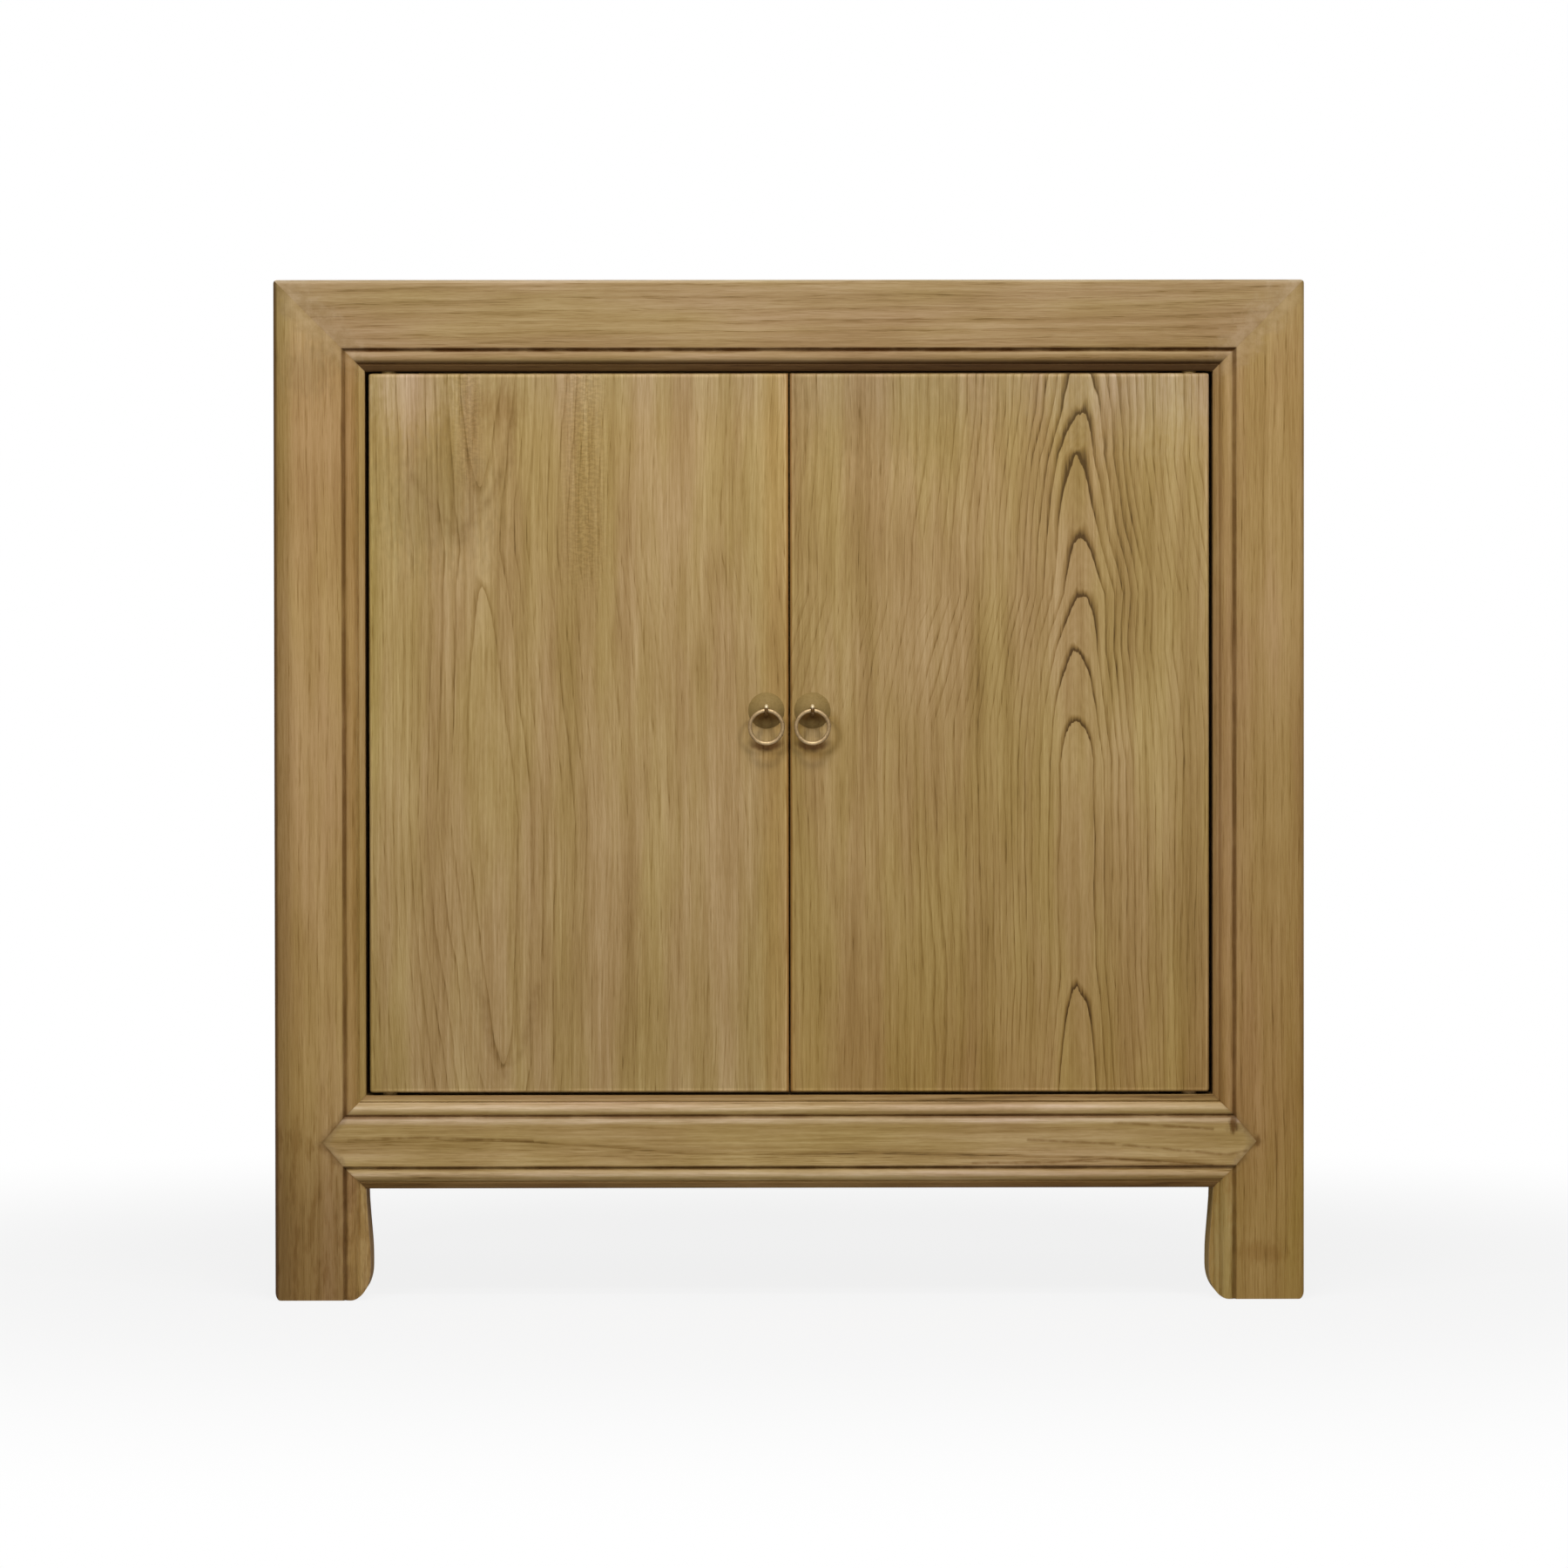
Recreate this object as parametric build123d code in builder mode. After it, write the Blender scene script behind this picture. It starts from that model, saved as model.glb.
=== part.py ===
"""Kang cabinet in elm: a low two-door cabinet in mitred post-and-rail construction.

Four posts carry a mitred top frame and four lower rails. The front posts, the top
front rail and the bottom front rail share one moulding, a groove and a bead that
frame the doors and run on down the legs. The bottom front rail enters the posts with
pointed, mitred shoulders. The doors turn on wooden pivots and carry ring pulls.

Millimetres. X runs to the right, Y to the back and Z up. The origin is on the floor,
in the middle of the whole cabinet, ring pulls included.
"""

import os

from build123d import *

# ---- Overall size -------------------------------------------------------------------
width = 840.0
height = 832.0
depth = 390.0
leg_height = 91.0

# ---- Timber sections ----------------------------------------------------------------
frame_face = 57.0  # outer edge of a post or top rail to the middle of its groove
post_depth = 50.0
back_post_width = 45.0
top_frame_width = 56.0  # how far the top rails reach in from the edge, seen on top
top_rail_height = 57.0  # side and back rails of the top frame
bottom_rail_height = 76.0
front_rail_thickness = 40.0
lower_rail_thickness = 36.0
arris_radius = 3.5  # rounded outer edges of the frame
eased_edge = 1.2  # lightly rounded edges of everything else
leg_swell = 3.5  # how far the front legs swell towards each other above the toe
swell_height = 32.0  # where they are widest
toe_inner_width = 16.0  # rounded ends of the front legs, towards the opening
toe_inner_height = 25.0
toe_outer_width = 4.5
toe_outer_height = 7.5

# ---- Groove and bead ----------------------------------------------------------------
bead_zone = 17.0  # middle of the groove to the edge of the opening
groove_width = 3.0
groove_depth = 2.8
bead_set_back = 0.5  # the crown of the bead is this far behind the face
bead_lip = 0.8  # and its edge at the groove this much further
bead_crown = 4.0  # groove edge of the bead to its crown
bead_width = 8.6
bead_fall = 3.0  # and has fallen this far behind the face where it ends
quirk_width = 2.4
quirk_depth = 1.6  # below the end of the bead
fillet_fall = 3.6  # the narrow band next to the opening, where it meets the quirk
fillet_cant = 1.6  # and how much further back it lies at the opening
inner_arris = 1.2

# ---- Joints of the frame ------------------------------------------------------------
shoulder_depth = 12.0  # thickness of the pointed shoulder, from the face
shoulder_point = 18.0  # how far the point reaches past the groove into the post
tenon_cheek = 4.0  # wood between the shoulder's housing and the tenon behind it
front_tenon_length = 46.0
front_tenon_thickness = 14.0
tenon_length = 30.0
back_tenon_length = 22.0  # shorter, so that it stays clear of the side rail's tenon
tenon_shoulder = 13.0  # the tenons stand in this far from a rail's edges
corner_tenon = 16.0  # square tenon on top of each post
corner_tenon_inset = 22.0
corner_tenon_cover = 10.0  # wood left above it
fit = 0.1  # clearance round tenons and panels
overcut = 1.0  # how far a cutting shape reaches past the wood

# ---- Panels, shelf and braces -------------------------------------------------------
groove_inset = 12.0  # outer face of the frame to the panels let into it
panel_thickness = 10.0
panel_bite = 8.0  # how deep panels and boards enter their grooves
panel_room = 1.0  # room for the wood to move, at the bottom of a groove
top_panel_thickness = 16.0
top_tongue = 6.0
top_tongue_cover = 5.0
top_seam = 0.4  # seam between the top panel and its frame
brace_width = 42.0
brace_height = 22.0
brace_bite = 10.0
muntin_bite = 20.0
muntin_width = 50.0
muntin_thickness = 30.0
muntin_inset = 6.0
board_thickness = 12.0
board_drop = 5.0  # bottom board below the top of the lower rails
shelf_height = 478.0  # upper face
shelf_thickness = 16.0
bearer_width = 18.0
bearer_height = 25.0

# ---- Doors --------------------------------------------------------------------------
door_thickness = 20.0
door_recess = 4.5
side_gap = 3.2
centre_gap = 1.4
top_gap = 2.0
bottom_gap = 2.5
door_edge_radius = 4.0  # rounded hinge edge, so that it clears the post
door_arris = 2.0  # the other rounded edges of a door
pivot_inset = 16.0  # hinge edge of the door to its pivot
pivot_diameter = 12.0
pivot_length = 12.0  # stands out of the door
pivot_embedded = 32.0
pivot_clearance = 0.08  # radial, in the sockets
dowel_clearance = 0.03  # radial, in the door
pivot_end_gap = 0.3
batten_width = 40.0
batten_flare = 3.0  # dovetail, each side
batten_let_in = 6.0
batten_height = 11.0
batten_inset = 15.0
batten_from_end = 92.0
stop_gap = 0.3
stop_width = 12.0
stop_height = 11.0
stop_clear_of_pivot = 24.0

# ---- Ring pulls ---------------------------------------------------------------------
pull_offset = 18.8  # from the middle of the cabinet
pull_height = 481.0
plate_radius = 14.8
plate_dome = 6.5
plate_wall = 1.2
eye_wire = 3.0
eye_radius = 3.4  # to the middle of the wire
eye_stand_off = 11.5  # middle of the eye, in front of the door
pin_diameter = 3.8
pin_clearance = 0.1
pin_leg_length = 12.0
pin_leg_width = 3.0
pin_leg_thickness = 1.0
ring_wire = 3.1
ring_radius = 13.4  # to the middle of the wire
ring_clearance = 0.15

# ---- Places worked out from the sizes -----------------------------------------------
left, right = -width / 2, width / 2
pull_proud = eye_stand_off + eye_radius + eye_wire / 2 - door_recess
front = (pull_proud - depth) / 2
back = front + depth
post_width = frame_face + bead_zone
opening_left = left + post_width
opening_top = height - post_width
rail_bottom, rail_top = leg_height, leg_height + bottom_rail_height
rail_middle = (rail_bottom + rail_top) / 2
side_rail_under = height - top_rail_height
front_post_back = front + post_depth
back_post_front = back - post_depth
side_groove = (left + groove_inset, left + groove_inset + panel_thickness)
back_groove = (back - groove_inset - panel_thickness, back - groove_inset)
side_panel_slot = (side_groove[0] + fit, side_groove[1] - fit)
back_panel_slot = (back_groove[0] + fit, back_groove[1] - fit)
tenon_z = (rail_bottom + tenon_shoulder, rail_top - tenon_shoulder)
tenon_front = front + shoulder_depth + tenon_cheek
front_tenon_y = (tenon_front, tenon_front + front_tenon_thickness)
board_top = rail_top - board_drop
board_z = (board_top - board_thickness, board_top)
bottom_brace_z = (board_z[0] - brace_height, board_z[0])
top_brace_z = (height - top_panel_thickness - brace_height, height - top_panel_thickness)
tongue_z = (height - top_tongue_cover - top_tongue, height - top_tongue_cover)
shelf_z = (shelf_height - shelf_thickness, shelf_height)
bearer_z = (shelf_z[0] - bearer_height, shelf_z[0])
bearer_x = (side_groove[1] + fit, side_groove[1] + fit + bearer_width)
door_front = front + door_recess
door_back = door_front + door_thickness
door_left, door_right = opening_left + side_gap, -centre_gap / 2
door_bottom, door_top = rail_top + bottom_gap, opening_top - top_gap
pivot_x = door_left + pivot_inset
pivot_y = door_front + door_thickness / 2
stop_left = pivot_x + stop_clear_of_pivot
stop_y = (door_back + stop_gap, door_back + stop_gap + stop_width)

facade = Plane(origin=(0, front, 0), x_dir=(1, 0, 0), z_dir=(0, -1, 0))


# ---- Small helpers ------------------------------------------------------------------
def block(x, y, z, mode=Mode.ADD):
    """A squared timber, or a mortise or groove, between two limits on each axis."""
    with Locations(((x[0] + x[1]) / 2, (y[0] + y[1]) / 2, (z[0] + z[1]) / 2)):
        Box(x[1] - x[0], y[1] - y[0], z[1] - z[0], mode=mode)


def grown(limits, by):
    """The same two limits, moved apart by a clearance at each end."""
    return (limits[0] - by, limits[1] + by)


def both_sides(x):
    """Limits on the left of the cabinet, and the same ones mirrored to the right."""
    return [x, (-x[1], -x[0])]


def cut_to(corner, *keep):
    """Saw the piece by planes through a corner, each keeping the side it points to."""
    for direction in keep:
        split(bisect_by=Plane(origin=corner, z_dir=direction), keep=Keep.TOP)


def finish(piece, name):
    """Name a finished piece and write it."""
    piece.part.label = name
    export_step(piece.part, f"parts/{name}.step")


def mirror_to_right(piece, name):
    """The right-hand twin of a finished left-hand piece."""
    with BuildPart() as twin:
        mirror(piece.part, about=Plane.YZ)
    finish(twin, name)


# The waste that the moulding planes take off a member's front, with the groove's
# middle at the origin, +X towards the opening and +Y into the wood.
bead_start = groove_width / 2
bead_end = bead_start + bead_width
quirk_end = bead_end + quirk_width
band_edge = fillet_fall + fillet_cant
with BuildSketch() as moulding:
    with BuildLine():
        Polyline(
            (bead_zone + overcut, -overcut),
            (-bead_start, -overcut),
            (-bead_start, 0),
            (0, groove_depth),
            (bead_start, bead_set_back + bead_lip),
        )
        ThreePointArc(
            (bead_start, bead_set_back + bead_lip),
            (bead_start + bead_crown, bead_set_back),
            (bead_end, bead_fall),
        )
        Polyline(
            (bead_end, bead_fall),
            (bead_end + quirk_width / 2, bead_fall + quirk_depth),
            (quirk_end, fillet_fall),
            (bead_zone - inner_arris, band_edge),
            (bead_zone, band_edge + inner_arris),
            (bead_zone + overcut, band_edge + inner_arris),
            (bead_zone + overcut, -overcut),
        )
    make_face()


def pointed_shoulder():
    """Outline of the left shoulder: it follows both bead mitres, then comes to a point."""
    groove = opening_left - bead_zone
    Polygon(
        (opening_left, rail_top),
        (groove, rail_top - bead_zone),
        (groove - shoulder_point, rail_middle),
        (groove, rail_bottom + bead_zone),
        (opening_left, rail_bottom),
        align=None,
    )


def outer_corner(outline):
    """Corner of a section that lies at its sketch's origin, on the frame's outer edge."""
    return outline.vertices().sort_by_distance((0, 0, 0))[0]


def corner_tenon_limits(outer_x, outer_y):
    """Square tenon on top of the left post that stands at this outer corner."""
    inward = 1 if outer_y < 0 else -1
    near = outer_y + inward * corner_tenon_inset
    far = near + inward * corner_tenon
    x = (outer_x + corner_tenon_inset, outer_x + corner_tenon_inset + corner_tenon)
    foot = corner_tenon_inset + corner_tenon
    return x, (min(near, far), max(near, far)), (height - foot, height - corner_tenon_cover)


os.makedirs("parts", exist_ok=True)

# ---- Posts --------------------------------------------------------------------------
with BuildPart() as front_left_post:
    with BuildSketch(Plane(origin=(left, front, 0))):
        with Locations((post_width / 2, post_depth / 2)):
            outline = Rectangle(post_width, post_depth)
        outer = outline.vertices().sort_by(Axis.X)[:2].sort_by(Axis.Y)
        fillet(outer[0], arris_radius)
        fillet(outer[1], eased_edge)
        with Locations((frame_face, 0)):
            add(moulding.sketch, mode=Mode.SUBTRACT)
    extrude(amount=height)
    cut_to((left, front, height), (-1, 0, -1), (0, -1, -1))
    # The leg swells a little towards the opening, behind its moulding.
    swell_top = (opening_left, rail_bottom)
    swell_widest = (opening_left + leg_swell, swell_height)
    with BuildSketch(facade.offset(-band_edge - inner_arris)):
        with BuildLine():
            Spline(swell_top, swell_widest, tangents=((0, -1), (0, -1)))
            Polyline(
                swell_widest,
                (opening_left + leg_swell, 0),
                (opening_left - overcut, 0),
                (opening_left - overcut, rail_bottom),
                swell_top,
            )
        make_face()
    extrude(amount=-(post_depth - band_edge - inner_arris))
    # Rounded toe, seen from the front.
    with BuildSketch(facade):
        for edge, inward, across, up in (
            (left, 1, toe_outer_width, toe_outer_height),
            (opening_left + leg_swell, -1, toe_inner_width, toe_inner_height),
        ):
            with Locations((edge + inward * across / 2, up / 2)):
                Rectangle(across, up)
            with Locations((edge + inward * across, up)):
                Ellipse(across, up, mode=Mode.SUBTRACT)
    extrude(amount=-post_depth, mode=Mode.SUBTRACT)
    # Housing for the pointed shoulder of the bottom rail, and the mortise behind it.
    with BuildSketch(facade):
        pointed_shoulder()
    extrude(amount=-shoulder_depth, mode=Mode.SUBTRACT)
    block(
        (opening_left - front_tenon_length - panel_room, opening_left),
        grown(front_tenon_y, fit),
        grown(tenon_z, fit),
        Mode.SUBTRACT,
    )
    # Mortise of the side rail, groove of the side panel, notch for the shelf bearer.
    block(
        side_groove,
        (front_post_back - tenon_length - panel_room, front_post_back),
        grown(tenon_z, fit),
        Mode.SUBTRACT,
    )
    block(
        side_groove,
        (front_post_back - panel_bite, front_post_back),
        (rail_top - panel_bite, side_rail_under + panel_bite),
        Mode.SUBTRACT,
    )
    block(
        grown(bearer_x, fit),
        (front_post_back - brace_bite, front_post_back),
        grown(bearer_z, fit),
        Mode.SUBTRACT,
    )
    block(*corner_tenon_limits(left, front))
finish(front_left_post, "front_left_post")
mirror_to_right(front_left_post, "front_right_post")

with BuildPart() as back_left_post:
    with BuildSketch(Plane(origin=(left, back_post_front, 0))):
        with Locations((back_post_width / 2, post_depth / 2)):
            outline = Rectangle(back_post_width, post_depth)
        outer = outline.vertices().sort_by(Axis.X)[:2].sort_by(Axis.Y)
        fillet(outer[1], arris_radius)
        fillet(outer[0], eased_edge)
    extrude(amount=height)
    cut_to((left, back, height), (-1, 0, -1), (0, 1, -1))
    block(
        (left + back_post_width - back_tenon_length - panel_room, left + back_post_width),
        back_groove,
        grown(tenon_z, fit),
        Mode.SUBTRACT,
    )
    block(
        (left + back_post_width - panel_bite, left + back_post_width),
        back_groove,
        (rail_top - panel_bite, side_rail_under + panel_bite),
        Mode.SUBTRACT,
    )
    block(
        side_groove,
        (back_post_front, back_post_front + tenon_length + panel_room),
        grown(tenon_z, fit),
        Mode.SUBTRACT,
    )
    block(
        side_groove,
        (back_post_front, back_post_front + panel_bite),
        (rail_top - panel_bite, side_rail_under + panel_bite),
        Mode.SUBTRACT,
    )
    block(
        grown(bearer_x, fit),
        (back_post_front, back_post_front + brace_bite),
        grown(bearer_z, fit),
        Mode.SUBTRACT,
    )
    block(*corner_tenon_limits(left, back))
finish(back_left_post, "back_left_post")
mirror_to_right(back_left_post, "back_right_post")

# ---- Top frame, mitred in all three directions at each corner -------------------------
brace_x = (-brace_width / 2, brace_width / 2)

with BuildPart() as top_front_rail:
    with BuildSketch(Plane(origin=(left, front, height), x_dir=(0, 0, -1), z_dir=(1, 0, 0))):
        with Locations((post_width / 2, top_frame_width / 2)):
            outline = Rectangle(post_width, top_frame_width)
        fillet(outer_corner(outline), arris_radius)
        with Locations((frame_face, 0)):
            add(moulding.sketch, mode=Mode.SUBTRACT)
    extrude(amount=width)
    cut_to((left, front, height), (1, 0, 1), (1, -1, 0))
    cut_to((right, front, height), (-1, 0, 1), (-1, -1, 0))
    for x in both_sides(corner_tenon_limits(left, front)[0]):
        _, tenon_y, tenon_height = corner_tenon_limits(left, front)
        block(grown(x, fit), grown(tenon_y, fit), grown(tenon_height, fit), Mode.SUBTRACT)
    block(
        (left, right),
        (front + top_frame_width - panel_bite, front + top_frame_width),
        grown(tongue_z, fit),
        Mode.SUBTRACT,
    )
    block(
        grown(brace_x, fit),
        (front + top_frame_width - brace_bite, front + top_frame_width),
        grown(top_brace_z, fit),
        Mode.SUBTRACT,
    )
    # Sockets that the door pivots turn in.
    socket_depth = pivot_length - top_gap + pivot_end_gap
    with Locations(*[(x, pivot_y, opening_top + socket_depth / 2) for x in (pivot_x, -pivot_x)]):
        Cylinder(pivot_diameter / 2 + pivot_clearance, socket_depth, mode=Mode.SUBTRACT)
finish(top_front_rail, "top_front_rail")

with BuildPart() as top_back_rail:
    with BuildSketch(Plane(origin=(left, back, height), x_dir=(0, 0, -1), z_dir=(1, 0, 0))):
        with Locations((top_rail_height / 2, -top_frame_width / 2)):
            outline = Rectangle(top_rail_height, top_frame_width)
        fillet(outer_corner(outline), arris_radius)
    extrude(amount=width)
    cut_to((left, back, height), (1, 0, 1), (1, 1, 0))
    cut_to((right, back, height), (-1, 0, 1), (-1, 1, 0))
    for x in both_sides(corner_tenon_limits(left, back)[0]):
        _, tenon_y, tenon_height = corner_tenon_limits(left, back)
        block(grown(x, fit), grown(tenon_y, fit), grown(tenon_height, fit), Mode.SUBTRACT)
    block(
        (left, right),
        (back - top_frame_width, back - top_frame_width + panel_bite),
        grown(tongue_z, fit),
        Mode.SUBTRACT,
    )
    block(
        grown(brace_x, fit),
        (back - top_frame_width, back - top_frame_width + brace_bite),
        grown(top_brace_z, fit),
        Mode.SUBTRACT,
    )
    block((left, right), back_groove, (side_rail_under, side_rail_under + panel_bite), Mode.SUBTRACT)
    block(
        grown((-muntin_width / 2, muntin_width / 2), fit),
        back_groove,
        (side_rail_under, side_rail_under + muntin_bite),
        Mode.SUBTRACT,
    )
finish(top_back_rail, "top_back_rail")

with BuildPart() as top_left_rail:
    with BuildSketch(Plane(origin=(left, front, height), x_dir=(1, 0, 0), z_dir=(0, 1, 0))):
        with Locations((top_frame_width / 2, top_rail_height / 2)):
            outline = Rectangle(top_frame_width, top_rail_height)
        fillet(outer_corner(outline), arris_radius)
    extrude(amount=depth)
    cut_to((left, front, height), (-1, 1, 0), (0, 1, 1))
    cut_to((left, back, height), (-1, -1, 0), (0, -1, 1))
    for corner_y in (front, back):
        tenon_x, tenon_y, tenon_height = corner_tenon_limits(left, corner_y)
        block(grown(tenon_x, fit), grown(tenon_y, fit), grown(tenon_height, fit), Mode.SUBTRACT)
    block(
        (left + top_frame_width - panel_bite, left + top_frame_width),
        (front, back),
        grown(tongue_z, fit),
        Mode.SUBTRACT,
    )
    block(
        side_groove,
        (front, back),
        (side_rail_under, side_rail_under + panel_bite),
        Mode.SUBTRACT,
    )
finish(top_left_rail, "top_left_rail")
mirror_to_right(top_left_rail, "top_right_rail")

with BuildPart() as top_panel:
    rim = top_frame_width + top_seam
    block(
        (left + rim, right - rim),
        (front + rim, back - rim),
        (height - top_panel_thickness, height),
    )
    tongue_rim = top_frame_width - panel_bite + panel_room
    block((left + tongue_rim, right - tongue_rim), (front + tongue_rim, back - tongue_rim), tongue_z)
finish(top_panel, "top_panel")

with BuildPart() as top_brace:
    reach = top_frame_width - brace_bite + panel_room
    block(brace_x, (front + reach, back - reach), top_brace_z)
finish(top_brace, "top_brace")

# ---- Lower rails --------------------------------------------------------------------
with BuildPart() as bottom_front_rail:
    tip = opening_left - bead_zone - shoulder_point
    with BuildSketch(Plane(origin=(-tip, front, rail_middle), x_dir=(0, 0, 1), z_dir=(-1, 0, 0))):
        with Locations((0, front_rail_thickness / 2)):
            Rectangle(bottom_rail_height, front_rail_thickness)
        with Locations((bottom_rail_height / 2 - bead_zone, 0)):
            add(moulding.sketch, mode=Mode.SUBTRACT)
        with BuildSketch(mode=Mode.PRIVATE) as lower_moulding:
            with Locations((bottom_rail_height / 2 - bead_zone, 0)):
                add(moulding.sketch)
        mirror(lower_moulding.sketch, about=Plane.YZ, mode=Mode.SUBTRACT)
    extrude(amount=-2 * tip)
    # The pointed shoulders are only as thick as the housing in the posts.
    with BuildSketch(facade):
        with Locations((0, rail_middle)):
            Rectangle(-2 * tip, bottom_rail_height)
            Rectangle(-2 * opening_left, bottom_rail_height, mode=Mode.SUBTRACT)
        with BuildSketch(mode=Mode.PRIVATE) as shoulder:
            pointed_shoulder()
        add(shoulder.sketch, mode=Mode.SUBTRACT)
        mirror(shoulder.sketch, about=Plane.YZ, mode=Mode.SUBTRACT)
    extrude(amount=-shoulder_depth, mode=Mode.SUBTRACT)
    for x in both_sides((tip, opening_left)):
        block(
            x,
            (front + shoulder_depth, front + front_rail_thickness),
            (rail_bottom, rail_top),
            Mode.SUBTRACT,
        )
    for x in both_sides((opening_left - front_tenon_length, opening_left)):
        block(x, front_tenon_y, tenon_z)
    inner_face = front + front_rail_thickness
    block(
        (opening_left, -opening_left),
        (inner_face - panel_bite, inner_face),
        grown(board_z, fit),
        Mode.SUBTRACT,
    )
    block(
        grown(brace_x, fit),
        (inner_face - brace_bite, inner_face),
        grown(bottom_brace_z, fit),
        Mode.SUBTRACT,
    )
    socket_depth = pivot_length - bottom_gap + pivot_end_gap
    with Locations(*[(x, pivot_y, rail_top - socket_depth / 2) for x in (pivot_x, -pivot_x)]):
        Cylinder(pivot_diameter / 2 + pivot_clearance, socket_depth, mode=Mode.SUBTRACT)
finish(bottom_front_rail, "bottom_front_rail")

with BuildPart() as bottom_back_rail:
    shoulder_x = left + back_post_width
    inner_face = back - lower_rail_thickness
    block((shoulder_x, -shoulder_x), (inner_face, back), (rail_bottom, rail_top))
    long_edges = bottom_back_rail.edges().filter_by(Axis.X).group_by(Axis.Y)[-1]
    fillet(long_edges, eased_edge)
    for x in both_sides((shoulder_x - back_tenon_length, shoulder_x)):
        block(x, back_panel_slot, tenon_z)
    block(
        (shoulder_x, -shoulder_x),
        (inner_face, inner_face + panel_bite),
        grown(board_z, fit),
        Mode.SUBTRACT,
    )
    block(
        grown(brace_x, fit),
        (inner_face, inner_face + brace_bite),
        grown(bottom_brace_z, fit),
        Mode.SUBTRACT,
    )
    block(
        (shoulder_x, -shoulder_x), back_groove, (rail_top - panel_bite, rail_top), Mode.SUBTRACT
    )
    block(
        grown((-muntin_width / 2, muntin_width / 2), fit),
        back_groove,
        (rail_top - muntin_bite, rail_top),
        Mode.SUBTRACT,
    )
finish(bottom_back_rail, "bottom_back_rail")

with BuildPart() as bottom_left_rail:
    inner_face = left + lower_rail_thickness
    block((left, inner_face), (front_post_back, back_post_front), (rail_bottom, rail_top))
    fillet(bottom_left_rail.edges().filter_by(Axis.Y).group_by(Axis.X)[0], eased_edge)
    block(
        side_panel_slot,
        (front_post_back - tenon_length, back_post_front + tenon_length),
        tenon_z,
    )
    block(
        (inner_face - panel_bite, inner_face),
        (front_post_back, back_post_front),
        grown(board_z, fit),
        Mode.SUBTRACT,
    )
    block(
        side_groove,
        (front_post_back, back_post_front),
        (rail_top - panel_bite, rail_top),
        Mode.SUBTRACT,
    )
finish(bottom_left_rail, "bottom_left_rail")
mirror_to_right(bottom_left_rail, "bottom_right_rail")

# ---- Side and back panels -------------------------------------------------------------
panel_z = (rail_top - panel_bite + panel_room, side_rail_under + panel_bite - panel_room)

with BuildPart() as left_side_panel:
    bite = panel_bite - panel_room
    block(side_panel_slot, (front_post_back - bite, back_post_front + bite), panel_z)
finish(left_side_panel, "left_side_panel")
mirror_to_right(left_side_panel, "right_side_panel")

with BuildPart() as back_muntin:
    block(
        (-muntin_width / 2, muntin_width / 2),
        (back - muntin_inset - muntin_thickness, back - muntin_inset),
        (rail_top, side_rail_under),
    )
    fillet(back_muntin.edges().filter_by(Axis.Z), eased_edge)
    block(
        (-muntin_width / 2, muntin_width / 2),
        back_panel_slot,
        (rail_top - muntin_bite + panel_room, side_rail_under + muntin_bite - panel_room),
    )
    # Grooves for the back boards, past the ends of the tenons.
    for x in both_sides((-muntin_width / 2, -muntin_width / 2 + panel_bite)):
        block(x, back_groove, grown((rail_top, side_rail_under), muntin_bite), Mode.SUBTRACT)
finish(back_muntin, "back_muntin")

with BuildPart() as left_back_board:
    bite = panel_bite - panel_room
    block((left + back_post_width - bite, -muntin_width / 2 + bite), back_panel_slot, panel_z)
finish(left_back_board, "left_back_board")
mirror_to_right(left_back_board, "right_back_board")

# ---- Bottom board, shelf and stops ----------------------------------------------------
with BuildPart() as bottom_board:
    bite = panel_bite - panel_room
    side_reach = left + lower_rail_thickness - bite
    block(
        (side_reach, -side_reach),
        (front + front_rail_thickness - bite, back - lower_rail_thickness + bite),
        board_z,
    )
    # Notched round the posts.
    for x in both_sides((left, opening_left + fit)):
        block(x, (front, front_post_back + fit), board_z, Mode.SUBTRACT)
    for x in both_sides((left, left + back_post_width + fit)):
        block(x, (back_post_front - fit, back), board_z, Mode.SUBTRACT)
finish(bottom_board, "bottom_board")

with BuildPart() as bottom_brace:
    block(
        brace_x,
        (
            front + front_rail_thickness - brace_bite + panel_room,
            back - lower_rail_thickness + brace_bite - panel_room,
        ),
        bottom_brace_z,
    )
finish(bottom_brace, "bottom_brace")

with BuildPart() as left_shelf_bearer:
    bite = brace_bite - panel_room
    block(bearer_x, (front_post_back - bite, back_post_front + bite), bearer_z)
finish(left_shelf_bearer, "left_shelf_bearer")
mirror_to_right(left_shelf_bearer, "right_shelf_bearer")

with BuildPart() as shelf:
    shelf_left = side_groove[1] + 2 * fit
    block(
        (shelf_left, -shelf_left),
        (front_post_back + fit, back - muntin_inset - muntin_thickness - fit),
        shelf_z,
    )
    for x in both_sides((left, left + back_post_width + fit)):
        block(x, (back_post_front - fit, back), shelf_z, Mode.SUBTRACT)
    front_edges = shelf.edges().filter_by(Axis.X).group_by(Axis.Y)[0]
    fillet(front_edges, eased_edge)
finish(shelf, "shelf")

for name, stop_z in (
    ("top_door_stop", (opening_top - stop_height, opening_top)),
    ("sill_door_stop", (rail_top, rail_top + stop_height)),
):
    with BuildPart() as door_stop:
        block((stop_left, -stop_left), stop_y, stop_z)
        chamfer(door_stop.edges().filter_by(Axis.X).group_by(Axis.Y)[-1], eased_edge)
    finish(door_stop, name)

# ---- Doors --------------------------------------------------------------------------
batten_x = (door_left + batten_inset, door_right - batten_inset)
batten_heights = (
    door_bottom + batten_from_end,
    door_top - batten_from_end,
)


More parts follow.
